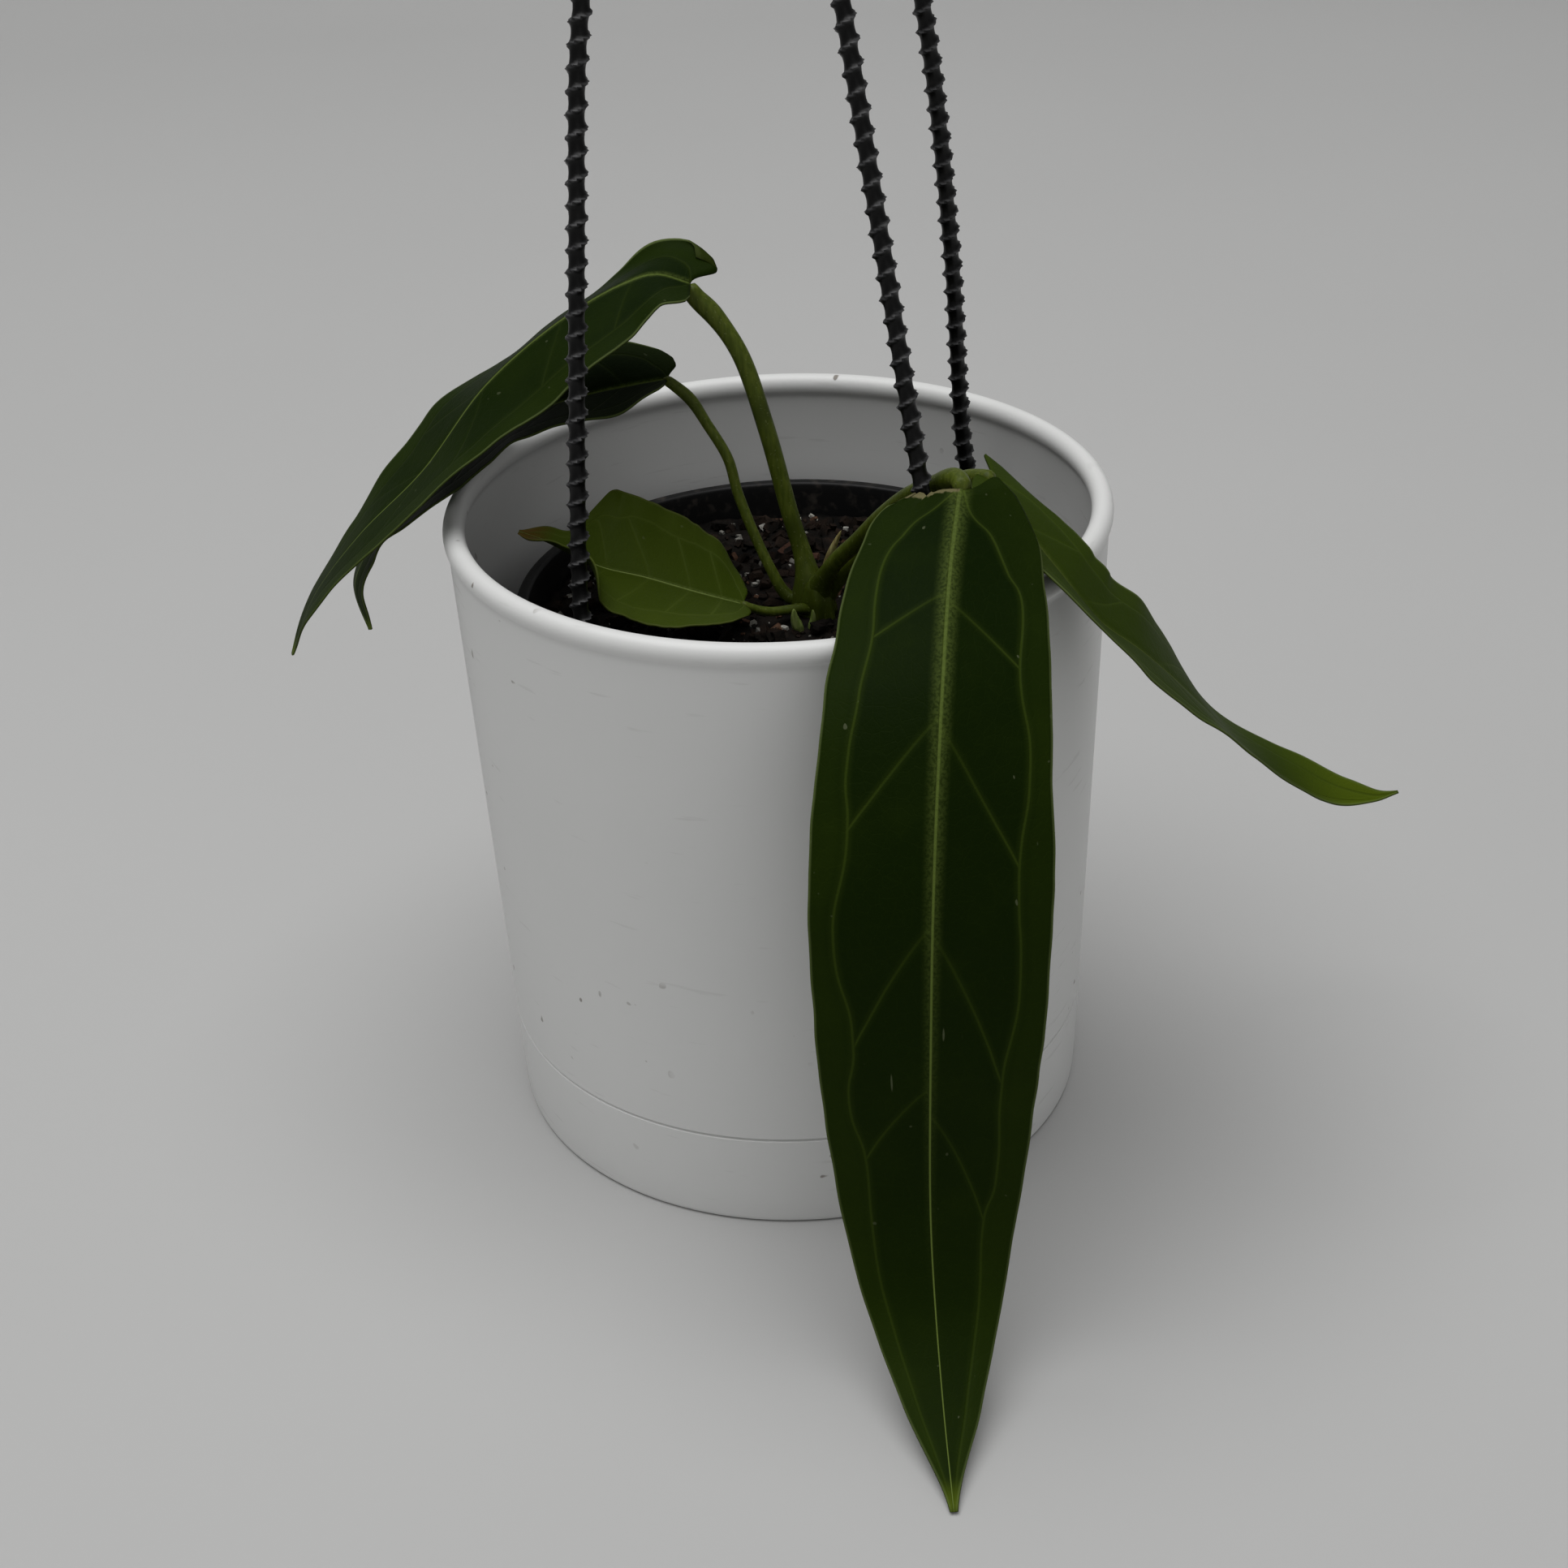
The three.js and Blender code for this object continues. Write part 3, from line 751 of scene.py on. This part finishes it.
def make_hook():
    foot = HUB_BOTTOM + 10.3 * MM
    middle = foot + STEM + 6 * MM + BEND
    points = [Vector((0, 0, foot)), Vector((0, 0, foot + STEM))]
    for i in range(10):
        angle = math.radians(-65 + 235 * i / 9)
        points.append(Vector((BEND * math.cos(angle), 0, middle + BEND * math.sin(angle))))
    route, length = smooth_route(points, 110)

    def radius(share, angle):
        left = (1 - share) * length
        if left < 2 * BALL:
            return max(math.sqrt(max(BALL ** 2 - (left - BALL) ** 2, 0)), WIRE if left > BALL else 0.02 * MM)
        return WIRE

    mesh = bmesh.new()
    tube(mesh, route, radius, 24)
    return add_piece("ceiling_hook", mesh, hanger_black, "black_plastic", "hanger_hook")


make_hub()
make_hook()
for name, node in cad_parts.items():
    if name.startswith("hanger_clip"):
        node.data.materials.clear()
        node.data.materials.append(hanger_black)
        print("finished", name)

# %% [markdown]
# ## Petioles and crown
# The leaves' stalks, the petioles, spring from a short stem, the crown. Each one is thick and sheathing at
# its foot, even along its middle, and swells into a small joint just under its blade, which lets the leaf
# turn to the light. One radius curve along the route gives all three.

# %% Petioles
# For each: its thickness in millimetres, how many times as thick its sheathing foot is, and its route from
# the mix to the blade.
PETIOLES = {
    "left_upper": (2.25, 2.3, [
        (7.5, 4, 139), (7.3, 4.5, 146), (6, 6.5, 153), (3.3, 8.5, 163), (-2, 12, 186), (-7.8, 16.5, 204.5),
        (-13.8, 19, 214), (-18.3, 20, 218.8), (-20.5, 20, 222)]),
    "left_lower": (1.38, 1.6, [
        (8, 2.5, 138), (5.5, 3.8, 140.3), (1.6, 4.5, 142), (-3, 7, 150), (-10, 14, 167), (-12.3, 17, 176),
        (-17.5, 21, 184.5), (-21.2, 23.5, 190), (-25.4, 24.6, 193.8), (-28, 25.2, 195.6)]),
    "young": (1.05, 1.6, [
        (8.5, 1, 138), (6, -1, 140.5), (2.5, -3, 141.5), (-3.5, -5.5, 142.5), (-8.4, -7, 144.8),
        (-10.6, -7.1, 146.2)]),
    "front": (2.2, 2.1, [
        (10, 2.5, 138), (9.8, 1.5, 144), (13.4, -4, 154), (19.8, -14, 165.5), (26, -25, 177.5),
        (32, -36, 187.5), (37.6, -44, 193.5), (41.6, -50, 197.2), (43, -55, 196.6)]),
    "right": (1.95, 1.5, [
        (10, 3, 138), (12, 2.5, 143), (20, -2, 155), (34, -14, 175), (44, -26, 186), (49.5, -32.5, 189.4),
        (51.3, -35.5, 190.4)]),
}


def make_petiole(name, thickness, sheath, points):
    route, length = smooth_route(in_mm(points), 90)

    def radius(share, angle):
        run = share * length
        foot = (sheath - 1) * math.exp(-(run / (9 * MM)) ** 2)
        joint = 0.16 * math.exp(-((length - run - 8 * MM) / (5 * MM)) ** 2)
        close = math.sqrt(max(1 - max(0, 1 - (length - run) / (1.6 * MM)) ** 2, 0.02))
        channel = 1 - 0.1 * max(0, math.sin(angle)) ** 6
        return thickness * MM * (1 + foot + joint) * close * channel

    mesh = bmesh.new()
    tube(mesh, route, radius, 20)
    return add_piece(f"stalk_{name}", mesh, green_stem, "stem_green", f"petiole_{name}", crease=180)


for name, (thickness, sheath, points) in PETIOLES.items():
    make_petiole(name, thickness, sheath, points)


def make_crown():
    low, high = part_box("plant_crown")
    middle = (low + high) / 2
    radius = (high.x - low.x) / 2
    tall = high.z - low.z
    profile = [(0, 0), (0.5, 0.02), (0.86, 0.3), (0.98, 0.6),
               (1.02, 0.78), (0.86, 0.88), (0.52, 0.96), (0, 1)]
    route = [(radius * share, low.z + tall * height) for share, height in profile]
    mesh = spun(route, 40, (middle.x, middle.y, 0))
    bmesh.ops.subdivide_edges(mesh, edges=mesh.edges, cuts=2, use_grid_fill=True, smooth=1)
    for corner in mesh.verts:
        away = Vector((corner.co.x - middle.x, corner.co.y - middle.y, 0))
        bearing = math.atan2(away.y, away.x)
        ridge = 0.1 * math.sin(3 * bearing + 260 * corner.co.z) + 0.05 * math.sin(7 * bearing)
        corner.co += away * (ridge - 0.06)
    return add_piece("stem_crown", mesh, green_stem, "stem_green", "plant_crown", crease=180)


make_crown()

# %% [markdown]
# ## Scale leaf and new shoot
# A papery scale leaf is left at the foot of the front petiole, and a pale new shoot shows beside the stem.
# Both are buds: a small turned shape, bent a little towards its tip.

# %% Buds
def make_bud(name, root, tip, radius, bend, material, slot, replaced):
    root, tip = Vector(root) * MM, Vector(tip) * MM
    middle = (root + tip) / 2 + Vector(bend) * MM
    route, length = smooth_route([root, middle, tip], 24)

    def width(share, angle):
        body = min(1, 0.75 + share) * max(1 - share, 0.0004) ** 0.55
        return radius * MM * body * (1 + 0.12 * math.sin(5 * angle))

    mesh = bmesh.new()
    tube(mesh, route, width, 14)
    return add_piece(name, mesh, material, slot, *replaced, crease=70)


make_bud("papery_scale_leaf", (12, 5, 147.5), (16, -2, 163), 1.5, (-0.8, -0.6, 0), dry_scale, "dry_scale",
         ["cataphyll"])
make_bud("new_shoot", (4.4, -8, 138), (3, -9.5, 145), 1.6, (-0.4, 0, 0), new_growth, "young_green",
         ["young_shoot"])
make_bud("new_shoot_small", (7.4, -7, 138), (7.9, -8.4, 144), 1.1, (0.3, 0, 0), new_growth, "young_green", [])

# %% [markdown]
# ## Blade finish
# A blade is nearly black green and velvety, with a pale midrib that glows into the green beside it. A
# collective vein runs down each side at about two thirds of the half width. A few pairs of side veins leave
# the midrib and meet it, and at each meeting it kinks. Outside it the green is a little lighter, and the
# margin itself is a thin pale line. All of this follows the blade, so it is drawn on its UV map, where x is
# the place across and y the place along, with the half width in an attribute to turn shares into distances.
# Distances in the finish are in millimetres.

# %% Vein pattern
def soft_line(distance, halo_width, halo):
    """A thin line with a soft halo beside it."""
    return distance.fade(0.5, 0.1) * 0.5 + distance.fade(halo_width, 0.2) * halo


def vein_pattern(along, signed, reach, veins, length, half_width):
    """How strongly a point lies on a vein, how far outside the collective vein, and whether on the left half.

    For each half, veins holds the collective vein's (along, across) points, and for each side vein where it
    leaves the midrib, where it meets the collective vein, and how far across that is.
    """
    across = abs(signed)
    sides = (signed.fade(0.01, -0.01), signed.fade(-0.01, 0.01))
    lines, margins = [], []
    for side, (collective, branches) in zip(sides, veins):
        course = along.add("ShaderNodeFloatCurve", {"points": collective}, {"Value": along})
        line = soft_line(abs(across - course) * reach, 1.8, 0.18)
        for start, end, share in branches:
            slope = (end - start) * length / (share * half_width)
            rise = ((across / share) ** 1.18) * (end - start) + start
            apart = abs(along - rise) * (length / math.sqrt(1 + slope ** 2))
            vein = soft_line(apart, 1.7, 0.2) * (across / share * 0.6 + 0.4)
            line = line.most(vein * (across - share).fade(0.02, -0.02))
        lines.append(line * side)
        margins.append((across - course).fade(-0.05, 0.12) * side)
    return lines[0] + lines[1], margins[0] + margins[1], sides[0]


print("vein pattern ready")

# %% Blade material
DRIED_BROWN = (0.16, 0.145, 0.07)
LEAF_DUST = (0.2, 0.22, 0.13)


def blade_material(name, length, veins, half_width, deep, margin, pale, **looks):
    """The finish of one blade; its colours and the widths of its midrib's core and glow are in looks."""
    made, flow, shader = start_material(name, Specular_IOR_Level=0.035)
    map_uv = flow.add("ShaderNodeUVMap", {"uv_map": "blade"})
    parts = map_uv.add("ShaderNodeSeparateXYZ", None, {0: map_uv})
    along = Flow(flow.tree, parts.output.node.outputs["Y"])
    signed = parts * 2 - 1
    across = abs(signed)
    reach = flow.add("ShaderNodeAttribute", {"attribute_name": "half_width"}, output=2)
    from_midrib = across * reach
    faint, outside, left_half = vein_pattern(along, signed, reach, veins, length, half_width)
    taper = 1 - along * 0.75
    core = (from_midrib / taper).fade(looks["core"], looks["core"] * 0.35)
    glow = (from_midrib / taper).fade(looks["glow"], 0) * (1 - along).fade(0.1, 0.9)
    speckle = mottle(flow, 1500, 2).fade(0.35, 0.62)
    cells = {"Vector": place(flow), "Scale": 330}
    mesh_veins = flow.add("ShaderNodeTexVoronoi", {"feature": "DISTANCE_TO_EDGE"}, cells).fade(0.07, 0.01)
    cloud = mottle(flow, 45, 4)
    lighter = outside * 0.4 + cloud.fade(0.42, 0.75) * 0.25 + along * 0.4 + mesh_veins * 0.07
    body = blend(flow, deep, margin, lighter)
    tipped = blend(flow, body, looks["tip"], along.fade(looks["tip_start"], 1.0))
    veined = blend(flow, tipped, looks["side_vein"], faint * (1 - along * 0.5))
    glowing = blend(flow, veined, pale, glow * (0.16 + speckle * 0.26))
    ribbed = blend(flow, glowing, pale, core * (along * 0.8 + 0.36))
    edge = ((1 - across) * reach).fade(0.75, 0.15)
    edged = blend(flow, ribbed, looks["edge"], edge * (1 - along * 0.5) * 0.7)
    ragged = along - mottle(flow, 900, 3) * 0.006
    dead = ragged.fade(0.0015, -0.0005) * left_half * looks["torn"]
    dried = blend(flow, edged, DRIED_BROWN, dead)
    dust = mottle(flow, 420, 1).fade(0.785, 0.81) * 0.16
    scratches = mottle(flow, 420, 1, where=stretched(flow, (1, 1, 0.12))).fade(0.775, 0.8) * 0.3
    dusty = blend(flow, dried, LEAF_DUST, dust.most(scratches * looks["torn"]))
    underside = flow.add("ShaderNodeAttribute", {"attribute_name": "underside"}, output=2)
    both = blend(flow, dusty, looks["under"], underside * (1 - core * 0.8) * 0.85)
    relief = mesh_veins * -0.06 + faint * -0.5 + core * -0.8 + mottle(flow, 110, 2) * 0.7 + speckle * 0.05
    end_material(flow, shader, both, looks["gloss"] + cloud * 0.16 - core * 0.06, relief, 0.35 * MM)
    return made


print("blade finish ready")

# %% [markdown]
# ## Strap leaves
# A blade is a flat grid bent over a few curves, which is how a leaf grows: a midrib, a half width at each
# place along it, the way its width runs there, and how far each half droops from that. The grid's end at the
# stalk is pushed back into two rounded lobes, and a tear pulls part of one lobe's edge in again, unevenly.
# Small waves run along the margin. A Solidify modifier gives the blade its thickness, and an attribute marks
# its under surface, which is paler.

# %% Strap leaves
BLADE_THICKNESS = 0.5 * MM
GRID_ACROSS, GRID_ALONG = 44, 150
OUTLINE = [0.6, 0.86, 0.94, 0.98, 1, 0.96, 0.88, 0.77, 0.6, 0.33, 0.03]
PLAIN_SIDE = ([(0, 0.05), (0.04, 0.45), (0.1, 0.68), (0.2, 0.72), (0.34, 0.68), (0.5, 0.74), (0.6, 0.66),
               (0.8, 0.6), (1, 0.1)],
              [(0.1, 0.17, 0.7), (0.24, 0.34, 0.68), (0.42, 0.55, 0.7), (0.6, 0.72, 0.62)])
OLD_GREEN = dict(
    deep=(0.0038, 0.0105, 0.0001), margin=(0.0145, 0.027, 0.0012), pale=(0.13, 0.18, 0.036),
    side_vein=(0.042, 0.066, 0.007), edge=(0.13, 0.17, 0.055), under=(0.022, 0.032, 0.003),
    tip=(0.09, 0.13, 0.006), tip_start=0.965, core=0.75, glow=4.2, gloss=0.5, torn=0)
# Each leaf's midrib runs from stalk to tip. Pairs are for the grid's two halves, and lists are at even steps
# along. Widths and lobes are in millimetres, and droops in degrees.
LEAVES = {
    "front": dict(
        midrib=[(42, -55, 197), (38, -77, 187.5), (34, -104, 170), (30.5, -124, 134), (29, -131, 92),
                (28.5, -133, 47), (29, -140, 24), (29.5, -158, 9), (30, -181, 0.9)],
        half_width=(28, 28), lobes=(1.5, 8), tear=3,
        across=[(1, 0.12, 0), (1, 0, 0), (1, 0, 0)],
        droop=([24, 14, 6, 4], [24, 14, 6, 4]),
        outline=[0.74, 0.88, 0.94, 0.98, 1, 0.96, 0.88, 0.77, 0.6, 0.33, 0.03],
        veins=(([(0, 0.03), (0.02, 0.25), (0.05, 0.55), (0.09, 0.68), (0.16, 0.66), (0.22, 0.7), (0.29, 0.75),
                 (0.34, 0.7), (0.44, 0.8), (0.54, 0.67), (0.6, 0.75), (0.66, 0.65), (0.8, 0.7), (1, 0.2)],
                [(0.12, 0.16, 0.65), (0.24, 0.34, 0.7), (0.42, 0.54, 0.66), (0.58, 0.66, 0.65)]),
               ([(0, 0.06), (0.02, 0.12), (0.05, 0.4), (0.09, 0.6), (0.12, 0.73), (0.18, 0.7), (0.28, 0.8),
                 (0.37, 0.7), (0.49, 0.75), (0.58, 0.66), (0.69, 0.7), (0.73, 0.61), (0.83, 0.64), (1, 0.2)],
                [(0.13, 0.18, 0.7), (0.25, 0.37, 0.7), (0.43, 0.58, 0.65), (0.61, 0.73, 0.61)])),
        looks=dict(torn=1)),
    "right": dict(
        midrib=[(51, -35, 190.5), (58, -48.5, 183.3), (66.5, -58.5, 174.3), (74.6, -60.5, 164),
                (84.2, -58, 155), (92.3, -54, 145.7), (100.8, -50, 135.1), (112.2, -46, 121),
                (125.8, -42, 107.4), (137.5, -38, 98.7), (150.4, -33, 94.5), (158, -29, 94)],
        half_width=(11, 18), lobes=(2, 9),
        across=[(0.5, 0.87, 0), (0.1, 1, 0), (0, 1, 0), (0, 1, 0), (0, 1, 0)],
        droop=([20, 2, -11, 2, -1, -13, -14, -21, -29], [14, -4, -15, -14, -4, 8, -8, -36, -50]),
        looks=dict(deep=(0.022, 0.038, 0.0025), margin=(0.034, 0.055, 0.005), pale=(0.085, 0.115, 0.02),
                   tip_start=0.72, glow=1.6, core=0.5, gloss=0.46)),
    "left_upper": dict(
        midrib=[(-19.4, 20, 222.5), (-28, 20, 225.3), (-37, 19, 223.3), (-54, 15, 215), (-72, 9, 202),
                (-89, 1, 183), (-106, -6, 169), (-119, -10, 154), (-126, -12, 139.5)],
        half_width=(24, 24), lobes=(6, 0),
        across=[(0, -1, 0)],
        droop=([-30, 8, 13, 9, -9, -8, 0, 0, -15], [3, 20, 22, 25, 13, 2, 4, 0, 0]),
        outline=[0.62, 0.74, 0.92, 0.98, 1, 0.97, 0.9, 0.82, 0.69, 0.48, 0.03],
        looks=dict(side_vein=(0.018, 0.03, 0.003), glow=2)),
    "left_lower": dict(
        midrib=[(-26.9, 25, 195.5), (-35, 26, 194), (-47, 27, 191.5), (-60, 27, 188), (-71, 26, 183.5),
                (-84, 23, 176), (-97, 19, 165), (-107, 16, 156), (-112, 12, 146), (-109, 9, 135)],
        half_width=(18, 18), lobes=(2, 0),
        across=[(0, -1, 0), (0, -1, 0), (0, -1, 0), (0.1, -1, 0), (0.5, -0.85, 0)],
        droop=([-21, -28, -20, -8, 2, 8, 11, 12, 11], [-5, 4, -2, -1, 6, 4, -6, 2, 15]),
        looks=dict(side_vein=(0.018, 0.03, 0.003), glow=1.6)),
    "young": dict(
        midrib=[(-9.7, -7, 145.7), (-21, -8, 150), (-34.5, -8, 155), (-45.5, -8, 158.4), (-53.4, -8, 163),
                (-59.2, -7, 166), (-65.7, -6, 168.3)],
        half_width=(22, 22), lobes=(1, 1),
        across=[(0, -1, -0.2), (0, -1, -0.5), (0, -1, -0.6), (0, -1, -0.3)],
        droop=([-2, -5, -3, -4, -8, -10, -10, -5, 0], [-23, -25, -23, -22, -26, -34, -55, -50, 0]),
        outline=[0.5, 0.84, 0.95, 1, 1, 1, 1.02, 0.98, 0.32, 0.22, 0.03],
        looks=dict(deep=(0.034, 0.054, 0.003), margin=(0.046, 0.068, 0.006), pale=(0.2, 0.26, 0.07),
                   side_vein=(0.062, 0.088, 0.012), edge=(0.1, 0.12, 0.03),
                   tip=(0.1, 0.045, 0.012), tip_start=0.84, glow=1.5, core=0.6, gloss=0.38)),
}
SHOULDER = 0.62
SHOULDER_SHARE = 0.035
RIPPLE = 0.016
WAVE = 0.9 * MM
CHANNEL_DEPTH = 0.35 * MM
CHANNEL_WIDTH = 1.2 * MM


def make_leaf(name, midrib, half_width, lobes, across, droop, looks, outline=OUTLINE,
              veins=(PLAIN_SIDE, PLAIN_SIDE), tear=0):
    spine, length = smooth_route(in_mm(midrib), GRID_ALONG)
    back = (spine[0] - spine[1]).normalized()
    mesh = bmesh.new()
    bmesh.ops.create_grid(mesh, x_segments=GRID_ACROSS, y_segments=GRID_ALONG, size=1, calc_uvs=True)
    uv = mesh.loops.layers.uv.verify()
    reach = mesh.verts.layers.float.new("half_width")
    for face in mesh.faces:
        for loop in face.loops:
            loop[uv].uv = (loop.vert.co.x / 2 + 0.5, loop.vert.co.y / 2 + 0.5)
    for corner in mesh.verts:
        u, v = corner.co.x, corner.co.y / 2 + 0.5
        step = min(round(v * GRID_ALONG), GRID_ALONG)
        way = (spine[min(step + 1, GRID_ALONG)] - spine[max(step - 1, 0)]).normalized()
        width = Vector([between([a[axis] for a in across], v) for axis in range(3)])
        width = (width - way * width.dot(way)).normalized()
        down = width.cross(way)
        half = 0 if u < 0 else 1
        angle = math.radians(between(droop[half], v))
        shoulder = SHOULDER + (1 - SHOULDER) * math.sqrt(1 - (1 - min(v / SHOULDER_SHARE, 1)) ** 2)
        ripple = 1 + RIPPLE * noise.noise(Vector((v * 26, half * 9, length / MM)))
        corner[reach] = half_width[half] * between(outline, v) * shoulder
        offset = corner[reach] * MM * ripple * u
        lobe = lobes[half] * MM * math.sin(math.pi * u * u) * max(0, 1 - 5 * v) ** 2
        ragged = 0.6 + noise.noise(Vector((u * 14, v * 60, 0)))
        lobe -= tear * MM * ragged * math.exp(-((u + 0.62) / 0.17) ** 2) * max(0, 1 - v / 0.03)
        wave = WAVE * abs(u) ** 3 * noise.noise(Vector((v * 11, half * 5 + 2, length / MM)))
        channel = CHANNEL_DEPTH * math.exp(-(offset / CHANNEL_WIDTH) ** 2) * (1 - v)
        corner.co = (spine[step] + width * offset * math.cos(angle) + back * lobe
                     + down * (abs(offset) * math.sin(angle) + wave + channel))
    finish = {**OLD_GREEN, **looks}
    made = blade_material(f"blade_{name}", length / MM, veins, max(half_width), **finish)
    slot = "young_green" if name == "young" else "leaf_green"
    blade = add_piece(f"blade_{name}", mesh, made, slot, f"leaf_{name}", crease=180)
    blade.data.uv_layers[0].name = "blade"
    skin = blade.modifiers.new("thickness", "SOLIDIFY")
    skin.thickness = BLADE_THICKNESS
    skin.offset = 0
    shell = blade.vertex_groups.new(name="underside")
    skin.shell_vertex_group = shell.name


for name, leaf in LEAVES.items():
    make_leaf(name, **leaf)

# %% [markdown]
# ## Floor and light
# The pot stands on a plain pale floor that curves up behind it, as a paper sweep does in a studio. One large
# soft light hangs above, a little to the left, so that the rim is bright and the wall below it is in soft
# shade. A weak fill comes from the front, and the rest is an even pale sky.

# %% Studio
SWEEP_START = 1.2
SWEEP_BEND = 0.8
SWEEP_WIDTH = 8
PAPER_DULL = (0.5, 0.5, 0.495)
PAPER_BRIGHT = (0.525, 0.525, 0.52)
SKY_STRENGTH = 0.26


def make_floor():
    mesh = bmesh.new()
    bend = arc((SWEEP_START, SWEEP_BEND), (SWEEP_BEND, SWEEP_BEND), -80, 0, 9)
    line = [(-2.5, 0), (SWEEP_START, 0), *bend, (SWEEP_START + SWEEP_BEND, 3)]
    corners = [mesh.verts.new((-SWEEP_WIDTH / 2, y, z)) for y, z in line]
    edges = [mesh.edges.new(pair) for pair in zip(corners, corners[1:])]
    grown = bmesh.ops.extrude_edge_only(mesh, edges=edges)["geom"]
    moved = [item for item in grown if isinstance(item, bmesh.types.BMVert)]
    bmesh.ops.translate(mesh, verts=moved, vec=(SWEEP_WIDTH, 0, 0))
    bmesh.ops.recalc_face_normals(mesh, faces=mesh.faces)
    for face in mesh.faces:
        face.smooth = True
    data = bpy.data.meshes.new("paper_sweep")
    mesh.to_mesh(data)
    mesh.free()
    made, flow, shader = start_material("pale_paper", Specular_IOR_Level=0.2)
    cloud = mottle(flow, 3, 2)
    end_material(flow, shader, blend(flow, PAPER_DULL, PAPER_BRIGHT, cloud), 0.7 + cloud * 0.1)
    data.materials.append(made)
    floor = bpy.data.objects.new("paper_sweep", data)
    bpy.context.scene.collection.objects.link(floor)


def add_light(name, spot, size, power, aim=(0, 0, 0.12)):
    lamp = bpy.data.lights.new(name, "AREA")
    lamp.shape = "DISK"
    lamp.size = size
    lamp.energy = power
    holder = bpy.data.objects.new(name, lamp)
    holder.location = spot
    holder.rotation_mode = "QUATERNION"
    holder.rotation_quaternion = (Vector(aim) - Vector(spot)).to_track_quat("-Z", "Y")
    bpy.context.scene.collection.objects.link(holder)


make_floor()
add_light("overhead", (-0.28, -0.1, 2.3), 2.4, 41)
add_light("front_fill", (0.6, -1.8, 1.0), 1.6, 1.6)
sky = bpy.data.worlds.new("studio")
bpy.context.scene.world = sky
sky.use_nodes = True
background = sky.node_tree.nodes["Background"]
background.inputs["Color"].default_value = (1, 1, 1, 1)
background.inputs["Strength"].default_value = SKY_STRENGTH
bpy.context.scene.view_settings.view_transform = "Standard"
print("studio ready")
